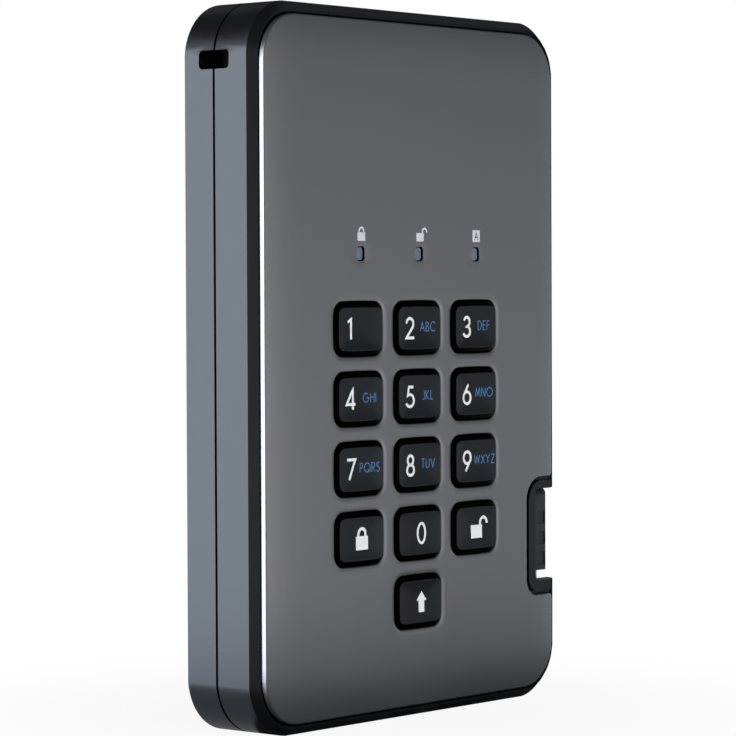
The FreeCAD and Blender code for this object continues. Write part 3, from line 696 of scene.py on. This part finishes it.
def arc(x, y, across, up, start, end):
    """Points of an ellipse's arc, in degrees, for a glyph's stroke."""
    count = max(GLYPH_ARC_LEAST, int(abs(end - start) / GLYPH_ARC_DEGREES))
    turns = [math.radians(start + (end - start) * k / count) for k in range(count + 1)]
    return [(x + across * math.cos(a), y + up * math.sin(a)) for a in turns]


# Stem and upper bowl that two letters share
BOWL = [(0.0, 0.0), (0.0, 1.0), (0.16, 1.0)] + arc(0.18, 0.74, 0.26, 0.26, 82, -90) + [(0.0, 0.48)]
# Each sign, one unit high: its width and its strokes
GLYPHS = {
    "0": (0.60, [arc(0.30, 0.50, 0.30, 0.50, 90, 450)]),
    "1": (0.26, [[(0.0, 0.86), (0.26, 1.0), (0.26, 0.0)]]),
    "2": (0.66, [arc(0.32, 0.71, 0.29, 0.29, 175, -40) + [(0.02, 0.0), (0.66, 0.0)]]),
    "3": (0.60, [arc(0.30, 0.755, 0.25, 0.245, 160, -90) + arc(0.29, 0.265, 0.30, 0.265, 80, -160)]),
    "4": (0.70, [[(0.70, 0.26), (0.0, 0.26), (0.50, 1.0), (0.50, 0.0)]]),
    "5": (0.62, [[(0.56, 1.0), (0.20, 1.0)] + arc(0.28, 0.31, 0.33, 0.31, 122, -155)]),
    "6": (0.64, [arc(0.32, 0.31, 0.31, 0.31, 140, 500), [(0.45, 1.0), (0.08, 0.51)]]),
    "7": (0.64, [[(0.0, 1.0), (0.64, 1.0), (0.16, 0.0)]]),
    "8": (0.60, [arc(0.30, 0.765, 0.235, 0.235, -90, 270), arc(0.30, 0.265, 0.295, 0.265, 90, 450)]),
    "9": (0.64, [arc(0.32, 0.69, 0.31, 0.31, -40, 320), [(0.19, 0.0), (0.56, 0.49)]]),
    "A": (0.70, [[(0.0, 0.0), (0.35, 1.0), (0.70, 0.0)], [(0.12, 0.34), (0.58, 0.34)]]),
    "B": (0.48, [[(0.0, 0.0), (0.0, 1.0), (0.18, 1.0)] + arc(0.19, 0.77, 0.22, 0.23, 80, -90)
                 + [(0.0, 0.54)],
                 [(0.04, 0.54), (0.18, 0.54)] + arc(0.20, 0.27, 0.28, 0.27, 80, -90) + [(0.0, 0.0)]]),
    "C": (0.80, [arc(0.48, 0.50, 0.48, 0.50, 48, 312)]),
    "D": (0.62, [[(0.0, 0.0), (0.0, 1.0), (0.14, 1.0)] + arc(0.16, 0.50, 0.46, 0.50, 84, -90)
                 + [(0.0, 0.0)]]),
    "E": (0.42, [[(0.42, 1.0), (0.0, 1.0), (0.0, 0.0), (0.42, 0.0)], [(0.0, 0.53), (0.38, 0.53)]]),
    "F": (0.40, [[(0.40, 1.0), (0.0, 1.0), (0.0, 0.0)], [(0.0, 0.53), (0.36, 0.53)]]),
    "G": (0.96, [arc(0.48, 0.50, 0.48, 0.50, 45, 360) + [(0.55, 0.50)]]),
    "H": (0.56, [[(0.0, 0.0), (0.0, 1.0)], [(0.56, 0.0), (0.56, 1.0)], [(0.0, 0.53), (0.56, 0.53)]]),
    "I": (0.0, [[(0.0, 0.0), (0.0, 1.0)]]),
    "J": (0.30, [[(0.30, 1.0), (0.30, 0.20)] + arc(0.13, 0.18, 0.17, 0.18, -10, -140)]),
    "K": (0.52, [[(0.0, 0.0), (0.0, 1.0)], [(0.48, 1.0), (0.02, 0.50), (0.52, 0.0)]]),
    "L": (0.38, [[(0.0, 1.0), (0.0, 0.0), (0.38, 0.0)]]),
    "M": (0.84, [[(0.0, 0.0), (0.12, 1.0), (0.42, 0.18), (0.72, 1.0), (0.84, 0.0)]]),
    "N": (0.62, [[(0.0, 0.0), (0.0, 1.0), (0.62, 0.0), (0.62, 1.0)]]),
    "O": (0.98, [arc(0.49, 0.50, 0.49, 0.50, 90, 450)]),
    "P": (0.44, [BOWL]),
    "Q": (0.98, [arc(0.49, 0.50, 0.49, 0.50, 90, 450), [(0.58, 0.34), (0.96, -0.02)]]),
    "R": (0.48, [BOWL, [(0.16, 0.48), (0.48, 0.0)]]),
    "S": (0.46, [arc(0.24, 0.765, 0.20, 0.235, 35, 262) + arc(0.23, 0.265, 0.23, 0.265, 82, -150)]),
    "T": (0.50, [[(0.0, 1.0), (0.50, 1.0)], [(0.25, 1.0), (0.25, 0.0)]]),
    "U": (0.54, [[(0.0, 1.0), (0.0, 0.29)] + arc(0.27, 0.27, 0.27, 0.27, 185, 355)
                 + [(0.54, 0.29), (0.54, 1.0)]]),
    "V": (0.66, [[(0.0, 1.0), (0.33, 0.0), (0.66, 1.0)]]),
    "W": (1.00, [[(0.0, 1.0), (0.25, 0.0), (0.50, 0.92), (0.75, 0.0), (1.00, 1.0)]]),
    "X": (0.60, [[(0.0, 0.0), (0.60, 1.0)], [(0.0, 1.0), (0.60, 0.0)]]),
    "Y": (0.60, [[(0.0, 1.0), (0.30, 0.47), (0.60, 1.0)], [(0.30, 0.47), (0.30, 0.0)]]),
    "Z": (0.54, [[(0.0, 1.0), (0.54, 1.0), (0.0, 0.0), (0.54, 0.0)]]),
}


class Print:
    """Thin raised ink on a surface, whose depth at a point is given by a function."""

    def __init__(self, name, body, surface_depth):
        self.name, self.body, self.surface_depth = name, body, surface_depth
        self.vertices, self.faces, self.inks, self.face_inks = [], [], [], []

    def slab(self, outline, ink):
        """A filled outline as a thin closed slab, sunk a little into the surface."""
        count, base = len(outline), len(self.vertices)
        points = [Vector(p) for p in outline]
        for drop in (-INK_HEIGHT, INK_SINK):
            self.vertices += [at(p, self.surface_depth(p) + drop) for p in points]
        top = tuple(range(base, base + count))
        made = [top, tuple(i + count for i in reversed(top))]
        made += [(base + k, base + count + k, base + count + (k + 1) % count, base + (k + 1) % count)
                 for k in range(count)]
        self.add(made, ink)

    def stroke(self, points, width, ink, lift=0.0):
        """A line of ink of an even width, with square ends; a line that ends where it starts is closed."""
        line = divided_line([Vector(p) for p in points])
        closed = (line[0] - line[-1]).length < CLOSED_STROKE
        if closed:
            line = line[:-1]
        sides = stroke_sides(line, width / 2, closed)
        base, count = len(self.vertices), len(line)
        top, foot = -INK_HEIGHT - lift, INK_SINK
        for left, right in sides:
            for p, drop in ((left, top), (right, top), (right, foot), (left, foot)):
                self.vertices.append(at(p, self.surface_depth(p) + drop))
        made = []
        for k in range(count if closed else count - 1):
            a, b = base + 4 * k, base + 4 * ((k + 1) % count)
            made += [(a + i, a + (i + 1) % 4, b + (i + 1) % 4, b + i) for i in range(4)]
        if not closed:
            last = base + 4 * (count - 1)
            made += [(base, base + 3, base + 2, base + 1), (last, last + 1, last + 2, last + 3)]
        self.add(made, ink)

    def add(self, faces, ink):
        """Keeps faces and the ink they have."""
        if ink not in self.inks:
            self.inks.append(ink)
        self.faces += faces
        self.face_inks += [self.inks.index(ink)] * len(faces)

    def words(self, text, x, z, height, width, ink, lift=0.0):
        """Signs in a row, centred on a point; height and width are those of the drawn strokes."""
        unit = height - width
        length = sum(GLYPHS[sign][0] for sign in text) + LETTER_SPACING * (len(text) - 1)
        left = x - unit * length / 2
        for sign in text:
            advance, strokes = GLYPHS[sign]
            for points in strokes:
                placed = [(left + unit * px, z + unit * (py - 0.5)) for px, py in points]
                self.stroke(placed, width, ink, lift)
            left += unit * (advance + LETTER_SPACING)

    def padlock(self, x, z, width, height, ink, is_open):
        """A padlock with its body centred on x and standing on z; an open shackle is swung to the right."""
        body_top = z + height * LOCK_BODY_SHARE
        half = width / 2
        self.stroke([(x, z), (x, body_top)], width, ink)
        line = width * LOCK_LINE_SHARE
        reach = width * LOCK_SHACKLE_SHARE / 2
        arch = z + height - line / 2 - reach
        centre = x + half + reach - line if is_open else x
        foot = body_top - line * LOCK_SHACKLE_SINK
        hang = body_top + line * LOCK_SHACKLE_LIFT if is_open else foot
        points = [(centre - reach, foot)] + arc(centre, arch, reach, reach, 180, 0)
        self.stroke(points + [(centre + reach, hang)], line, ink)

    def build(self):
        """All the ink as one piece."""
        made = piece(self.name, self.vertices, self.faces, self.inks[0], self.body, sharp=INK_SHARP_ANGLE)
        for ink in self.inks[1:]:
            made.data.materials.append(ink)
        for polygon, ink in zip(made.data.polygons, self.face_inks):
            polygon.material_index = ink


def divided_line(line):
    """The line with points on its long runs, so that ink on a dished face stays on it."""
    divided = []
    for a, b in zip(line, line[1:]):
        pieces = max(1, round((b - a).length / INK_STEP))
        divided += [a.lerp(b, k / pieces) for k in range(pieces)]
    return divided + line[-1:]


def stroke_sides(line, half_width, closed):
    """The points left and right of each point of a line, mitred where it turns."""
    count, sides = len(line), []
    for k, p in enumerate(line):
        before = line[k - 1] if closed or k else None
        after = line[(k + 1) % count] if closed or k < count - 1 else None
        first = (p - before).normalized() if before is not None else (after - p).normalized()
        second = (after - p).normalized() if after is not None else first
        normal = Vector((-first.y - second.y, first.x + second.x))
        normal = normal.normalized() if normal.length > LEAST_LENGTH else Vector((-first.y, first.x))
        stretch = 1 / max(1 / MITRE_LIMIT, normal.dot(Vector((-second.y, second.x))))
        offset = normal * half_width * stretch
        sides.append((p + offset, p - offset))
    return sides


def key_face(x, z):
    """Function for the depth of a key's dished face at a point, much as build_key makes it."""
    def depth(point):
        share = max(abs(point.x - x) / KEY_FACE_HALF_WIDTH, abs(point.y - z) / KEY_FACE_HALF_HEIGHT)
        return KEY_FACE_DEPTH + KEY_DISH * (1 - min(1, share) ** 2)
    return depth


LETTERS = {"2": "ABC", "3": "DEF", "4": "GHI", "5": "JKL", "6": "MNO", "7": "PQRS", "8": "TUV", "9": "WXYZ"}


def print_key(name):
    """The digit and letters, padlock or arrow on a key."""
    x, z = key_place(name)
    ink = Print("legend_" + name, "key_" + name, key_face(x, z))
    if name == "lock":
        ink.padlock(x + LOCK_SHIFT, z + LEGEND_LOW, LOCK_WIDTH, LOCK_HEIGHT, WHITE_INK, False)
    elif name == "unlock":
        ink.padlock(x + UNLOCK_SHIFT, z + LEGEND_LOW, LOCK_WIDTH, LOCK_HEIGHT, WHITE_INK, True)
    elif name == "shift":
        tip, low, middle = z + ARROW_HIGH, z + LEGEND_LOW, x + ARROW_SHIFT
        neck = tip - ARROW_HEAD
        ink.stroke([(middle, low), (middle, neck + ARROW_OVERLAP)], 2 * ARROW_STEM, WHITE_INK)
        ink.slab([(middle - ARROW_HALF, neck), (middle + ARROW_HALF, neck), (middle, tip)], WHITE_INK)
    elif name == "0":
        ink.words("0", x + ZERO_SHIFT, z + DIGIT_RISE, DIGIT_HEIGHT, ZERO_LINE, WHITE_INK)
    else:
        digit_x = x + (ONE_SHIFT if name == "1" else DIGIT_SHIFT)
        ink.words(name, digit_x, z + DIGIT_RISE, DIGIT_HEIGHT, DIGIT_LINE, WHITE_INK)
        if name in LETTERS:
            ink.words(LETTERS[name], x + LETTER_SHIFT, z + LETTER_RISE, LETTER_HEIGHT, LETTER_LINE, BLUE_INK)
    ink.build()


def print_plate():
    """The signs over the three indicator windows: locked, unlocked and a boxed letter."""
    (left, z), (middle, _), (right, _) = (lens_place(n) for n in LENSES)
    low = z + ICON_RISE
    ink = Print("indicator_signs", "case", plate_sink)
    ink.padlock(left + ICON_SHIFT, low, ICON_WIDTH, ICON_HEIGHT, GREY_INK, False)
    ink.padlock(middle + ICON_SHIFT, low, ICON_WIDTH, ICON_HEIGHT, GREY_INK, True)
    x, half = right + ICON_SHIFT, ICON_BOX / 2
    top = low + ICON_BOX
    ink.slab([(x - half, low), (x + half, low), (x + half, top), (x - half, top)], GREY_INK)
    ink.words("A", x, low + half, ICON_LETTER_HEIGHT, ICON_LETTER_LINE, DARK_INK, ICON_LETTER_LIFT)
    ink.build()


# Case and plug: the CAD solids with their edges softened

SOFTENED = ("front_shell", "rear_shell", "plug_overmould", "plug_shell")
SOFT_EDGE = 0.22
SOFT_EDGE_STEPS = 3
SOFT_EDGE_ANGLE = 25
WELD_GAP = 0.002
FLAT_ANGLE = 4
NORMAL_WEIGHT = 100


def smooth_shading():
    """A node group for a modifier that shades every face smooth."""
    group = bpy.data.node_groups.new("smooth_shading", "GeometryNodeTree")
    for way in ("INPUT", "OUTPUT"):
        group.interface.new_socket("Geometry", in_out=way, socket_type="NodeSocketGeometry")
    start = group.nodes.new("NodeGroupInput")
    smooth = group.nodes.new("GeometryNodeSetShadeSmooth")
    end = group.nodes.new("NodeGroupOutput")
    group.links.new(start.outputs[0], smooth.inputs["Geometry"])
    group.links.new(smooth.outputs[0], end.inputs[0])
    return group


def soften(node, smooth):
    """Rounds the sharp edges of a carried-over CAD node with modifiers; its own mesh stays as it is."""
    modifiers = NODES[node].modifiers
    weld = modifiers.new("weld", "WELD")
    weld.merge_threshold = WELD_GAP * MM
    flat = modifiers.new("flat", "DECIMATE")
    flat.decimate_type = "DISSOLVE"
    flat.angle_limit = math.radians(FLAT_ANGLE)
    edge = modifiers.new("edge", "BEVEL")
    edge.width = SOFT_EDGE * MM
    edge.segments = SOFT_EDGE_STEPS
    edge.limit_method = "ANGLE"
    edge.angle_limit = math.radians(SOFT_EDGE_ANGLE)
    shade = modifiers.new("shade", "NODES")
    shade.node_group = smooth
    normals = modifiers.new("normals", "WEIGHTED_NORMAL")
    normals.keep_sharp = True
    normals.weight = NORMAL_WEIGHT


def dress_nodes():
    """Every CAD node takes the finish of its material slot in the record."""
    for entry in frame["record"]["subparts"]:
        shown = NODES[entry["node"]]
        shown.data.materials.clear()
        shown.data.materials.append(FINISHES[entry["material_slot"]])


# Lead: one stiff cord from its socket, out of the boot and straight down the channel to the plug

LEAD_ROUND = 6
LEAD_ORDER = 3


def build_lead():
    """The lead as a cord, with the plug's pieces on its end."""
    low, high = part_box("usb_lead")
    x, y = (low.x + high.x) / 2, (low.y + high.y) / 2
    diameter = high.x - low.x
    boot_tip, sleeve_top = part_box("cable_gland")[0].z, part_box("plug_overmould")[1].z
    line = bpy.data.curves.new("lead_cord", "CURVE")
    line.dimensions = "3D"
    line.bevel_depth = diameter / 2
    line.bevel_resolution = LEAD_ROUND
    line.use_fill_caps = True
    heights = (high.z, boot_tip, sleeve_top, low.z)
    route = line.splines.new("NURBS")
    route.points.add(len(heights) - 1)
    for point, z in zip(route.points, heights):
        point.co = (x, y, z, 1)
    route.order_u = LEAD_ORDER
    route.use_endpoint_u = True
    line.materials.append(FINISHES["lead_jacket"])
    lead = linked("lead_cord", line)
    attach(lead, "case")
    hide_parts("usb_lead")


# Stage, light and camera

WHITE = (1, 1, 1, 1)
WORLD_DIM = (0.1, 0.1, 0.103, 1)
FLOOR_HALF = 3.0
FLOOR_COLOUR = (0.35, 0.35, 0.35, 1)
FLAG_RADIUS = 0.9
FLAG_LOW = 0.0001
FLAG_HIGH = 0.62
FLAG_START = 185
FLAG_END = 420
FLAG_STEPS = 40
# Tone by the cosine of the direction from the object, from straight left to straight right
FLAG_ACROSS = ((-1.0, 0.58), (-0.7, 0.65), (-0.3, 0.37), (0.1, 0.3), (0.48, 1.15), (0.64, 0.54),
               (0.78, 0.275), (0.92, 0.38), (1.0, 1.1))
# Fades by distance from the object or by height: start, end, share at the start and share at the end
FADE_SOCKETS = ("From Min", "From Max", "To Min", "To Max")
FLOOR_FADE = (0.03, 0.1, 0.92, 1.0)
FLAG_FOOT = (0.03, 0.2, 0.03, 1.0)
FLAG_UPWARD = (0.0, 0.36, 1.0, 0.11)
GLOW_FOOT = (0.03, 0.17, 0.06, 1.0)
GLOW_STRENGTH = 5.6
# Lamps: place, what it points at, width, height and power
SOFTBOX = ((-0.95, 0.42, 0.09), (0, 0, 0.09), 1.1, 0.68, 13.1)
SIDE_FILL = ((-0.95, 0.1, 0.3), (0, 0, 0.06), 0.6, 0.6, 5)
FRONT_FILL = ((-0.08, -0.95, 0.45), (0, 0, 0.06), 0.6, 0.6, 10)
SOFTBOX_COLOUR = (0.88, 0.92, 1.0)
# Camera: place, direction from straight ahead, tilt and roll in degrees, focal length and sensor
CAMERA_PLACE = (-0.4391, -0.3661, 0.0770)
CAMERA_TURN = 50.06
CAMERA_DOWN = 1.57
CAMERA_ROLL = -0.23
CAMERA_LENS = 157.45
CAMERA_SENSOR = 36.0
CAMERA_NEAR = 0.01


def turned_arc(start, end, height):
    """Points at the flags' radius between two directions, in degrees."""
    turns = [math.radians(start + (end - start) * k / FLAG_STEPS) for k in range(FLAG_STEPS + 1)]
    return [(FLAG_RADIUS * math.cos(a), FLAG_RADIUS * math.sin(a), height) for a in turns]


def stage_mesh(name, vertices, faces, finish):
    """A mesh of the stage."""
    mesh = bpy.data.meshes.new(name)
    mesh.from_pydata(vertices, [], faces)
    mesh.materials.append(finish)
    shown = linked(name, mesh)
    return shown


def reflected_only(name, vertices, faces, finish):
    """A piece of the stage that only reflections see."""
    card = stage_mesh(name, vertices, faces, finish)
    for ray in ("camera", "diffuse", "transmission", "volume_scatter", "shadow"):
        setattr(card, "visible_" + ray, False)


def calculated(nodes, links, operation, first, second):
    """The result of a calculation with two inputs, each a number or the output of a node."""
    made = nodes.new("ShaderNodeMath")
    made.operation = operation
    for socket, value in zip(made.inputs, (first, second)):
        if isinstance(value, float):
            socket.default_value = value
        else:
            links.new(value, socket)
    return made.outputs[0]


def faded(nodes, links, source, fade, level, interpolation="SMOOTHSTEP"):
    """A level times a fade of a source."""
    ramp = nodes.new("ShaderNodeMapRange")
    ramp.interpolation_type = interpolation
    for socket, value in zip(FADE_SOCKETS, fade):
        ramp.inputs[socket].default_value = value
    links.new(source, ramp.inputs["Value"])
    return calculated(nodes, links, "MULTIPLY", level, ramp.outputs["Result"])


def seen_ray(nodes, links):
    """1 for camera, glossy and transmission rays, 0 for diffuse ones."""
    path = nodes.new("ShaderNodeLightPath").outputs
    seen = calculated(nodes, links, "MAXIMUM", path["Is Camera Ray"], path["Is Glossy Ray"])
    return calculated(nodes, links, "MAXIMUM", seen, path["Is Transmission Ray"])


def mixed(nodes, links, share, first, second):
    """The first shader where the share is 0 and the second where it is 1."""
    mix = nodes.new("ShaderNodeMixShader")
    for socket, source in zip(mix.inputs, (share, first.outputs[0], second.outputs[0])):
        links.new(source, socket)
    return mix.outputs[0]


def stage_finish(name):
    """A new stage material: its nodes and links, the place on it and the distance from the upright axis."""
    finish = bpy.data.materials.new(name)
    finish.use_nodes = True
    nodes, links = finish.node_tree.nodes, finish.node_tree.links
    nodes.clear()
    place = nodes.new("ShaderNodeTexCoord")
    split = nodes.new("ShaderNodeSeparateXYZ")
    links.new(place.outputs["Object"], split.inputs[0])
    flat = nodes.new("ShaderNodeVectorMath")
    flat.operation = "MULTIPLY"
    flat.inputs[1].default_value = (1, 1, 0)
    links.new(place.outputs["Object"], flat.inputs[0])
    reach = nodes.new("ShaderNodeVectorMath")
    reach.operation = "LENGTH"
    links.new(flat.outputs[0], reach.inputs[0])
    return finish, nodes, links, split, reach.outputs["Value"]


def shine(nodes, links, level, colour=WHITE[:3]):
    """Ends a material of the stage in an emission of a level."""
    light = nodes.new("ShaderNodeEmission")
    light.inputs["Color"].default_value = (*colour, 1)
    links.new(level, light.inputs["Strength"])
    out = nodes.new("ShaderNodeOutputMaterial")
    links.new(light.outputs["Emission"], out.inputs["Surface"])


def build_flags():
    """A dark studio that only reflections see: walls and table round the front and right, and a ceiling.

    Its tone changes with the direction and darkens towards the object's foot and upwards, so that the plate
    and the bevels show the tones of a lit room and not of an even white one.
    """
    low = turned_arc(FLAG_START, FLAG_END, FLAG_LOW)
    high = turned_arc(FLAG_START, FLAG_END, FLAG_HIGH)
    ceiling = turned_arc(0, 360, FLAG_HIGH)[:-1]
    vertices = low + high + ceiling + [(0, 0, FLAG_LOW)]
    count, centre = len(low), len(vertices) - 1
    faces = [(k, k + 1, count + k + 1, count + k) for k in range(count - 1)]
    faces += [(centre, k, k + 1) for k in range(count - 1)]
    faces.append(tuple(range(2 * count, 2 * count + len(ceiling))))

    finish, nodes, links, split, reach = stage_finish("studio_flags")
    cosine = calculated(nodes, links, "DIVIDE", split.outputs["X"], reach)
    across = nodes.new("ShaderNodeMapRange")
    across.inputs["From Min"].default_value = -1.0
    links.new(cosine, across.inputs["Value"])
    tones = nodes.new("ShaderNodeValToRGB")
    tones.color_ramp.interpolation = "EASE"
    while len(tones.color_ramp.elements) < len(FLAG_ACROSS):
        tones.color_ramp.elements.new(0.5)
    for element, (x, tone) in zip(tones.color_ramp.elements, FLAG_ACROSS):
        element.position = (x + 1) / 2
        element.color = (tone, tone, tone, 1)
    links.new(across.outputs["Result"], tones.inputs["Fac"])
    level = faded(nodes, links, reach, FLAG_FOOT, tones.outputs["Color"])
    shine(nodes, links, faded(nodes, links, split.outputs["Z"], FLAG_UPWARD, level))
    reflected_only("studio_flags", vertices, faces, finish)


def build_glow():
    """The softbox as a glossy table mirrors it, for the lower part of the left side."""
    rim = turned_arc(FLAG_END - 360, FLAG_START, FLAG_LOW)
    vertices = rim + [(0, 0, FLAG_LOW)]
    faces = [(len(rim), k, k + 1) for k in range(len(rim) - 1)]
    finish, nodes, links, _, reach = stage_finish("table_glow")
    shine(nodes, links, faded(nodes, links, reach, GLOW_FOOT, GLOW_STRENGTH), SOFTBOX_COLOUR)
    reflected_only("table_glow", vertices, faces, finish)


def area_light(name, position, target, width, height, power, colour=WHITE[:3]):
    """A lamp that points at a target and that the camera doesn't see."""
    lamp = bpy.data.lights.new(name, "AREA")
    lamp.color = colour
    lamp.shape = "RECTANGLE"
    lamp.size, lamp.size_y = width, height
    lamp.energy = power
    shown = linked(name, lamp)
    shown.location = position
    shown.rotation_euler = (Vector(target) - Vector(position)).to_track_quat("-Z", "Y").to_euler()
    shown.visible_camera = False
    return shown


def build_lights():
    """A softbox that only reflections see, and two fills that they don't."""
    area_light("softbox", *SOFTBOX, SOFTBOX_COLOUR).visible_diffuse = False
    area_light("side_fill", *SIDE_FILL).visible_glossy = False
    area_light("front_fill", *FRONT_FILL).visible_glossy = False


def build_world():
    """White where the camera or a reflection sees it, and dim as a light."""
    world = bpy.data.worlds.new("studio")
    bpy.context.scene.world = world
    world.use_nodes = True
    nodes, links = world.node_tree.nodes, world.node_tree.links
    nodes.clear()
    dim = nodes.new("ShaderNodeBackground")
    dim.inputs["Color"].default_value = WORLD_DIM
    white = nodes.new("ShaderNodeBackground")
    white.inputs["Color"].default_value = WHITE
    out = nodes.new("ShaderNodeOutputWorld")
    links.new(mixed(nodes, links, seen_ray(nodes, links), dim, white), out.inputs["Surface"])


def build_floor():
    """Pale paper that shows white, and a little of its shade near the object's foot."""
    finish, nodes, links, _, reach = stage_finish("floor_paper")
    paper = nodes.new("ShaderNodeBsdfDiffuse")
    paper.inputs["Color"].default_value = FLOOR_COLOUR
    glow = nodes.new("ShaderNodeEmission")
    glow.inputs["Strength"].default_value = 1.0
    share = faded(nodes, links, reach, FLOOR_FADE, seen_ray(nodes, links), "LINEAR")
    out = nodes.new("ShaderNodeOutputMaterial")
    links.new(mixed(nodes, links, share, paper, glow), out.inputs["Surface"])
    half = FLOOR_HALF
    corners = [(-half, -half, 0), (half, -half, 0), (half, half, 0), (-half, half, 0)]
    stage_mesh("floor", corners, [(0, 1, 2, 3)], finish)


def build_camera():
    """The camera at the photograph's viewing angle."""
    turn, down, roll = (math.radians(angle) for angle in (CAMERA_TURN, CAMERA_DOWN, CAMERA_ROLL))
    ahead = Vector((math.sin(turn) * math.cos(down), math.cos(turn) * math.cos(down), -math.sin(down)))
    level = Vector((math.cos(turn), -math.sin(turn), 0))
    up = level.cross(ahead)
    right = math.cos(roll) * level + math.sin(roll) * up
    top = -math.sin(roll) * level + math.cos(roll) * up
    lens = bpy.data.cameras.new("camera")
    lens.sensor_width = CAMERA_SENSOR
    lens.lens = CAMERA_LENS
    lens.clip_start = CAMERA_NEAR
    camera = linked("camera", lens)
    facing = Matrix((right, top, -ahead)).transposed().to_4x4()
    camera.matrix_world = Matrix.Translation(CAMERA_PLACE) @ facing
    bpy.context.scene.camera = camera


dress_nodes()
build_plate()
for key in KEYS:
    build_key(key)
    print_key(key)
for lens in LENSES:
    build_lens(lens)
print_plate()
smooth = smooth_shading()
for node in SOFTENED:
    soften(node, smooth)
build_lead()

bpy.context.scene.view_settings.view_transform = "Standard"
build_world()
build_floor()
build_flags()
build_glow()
build_lights()
build_camera()
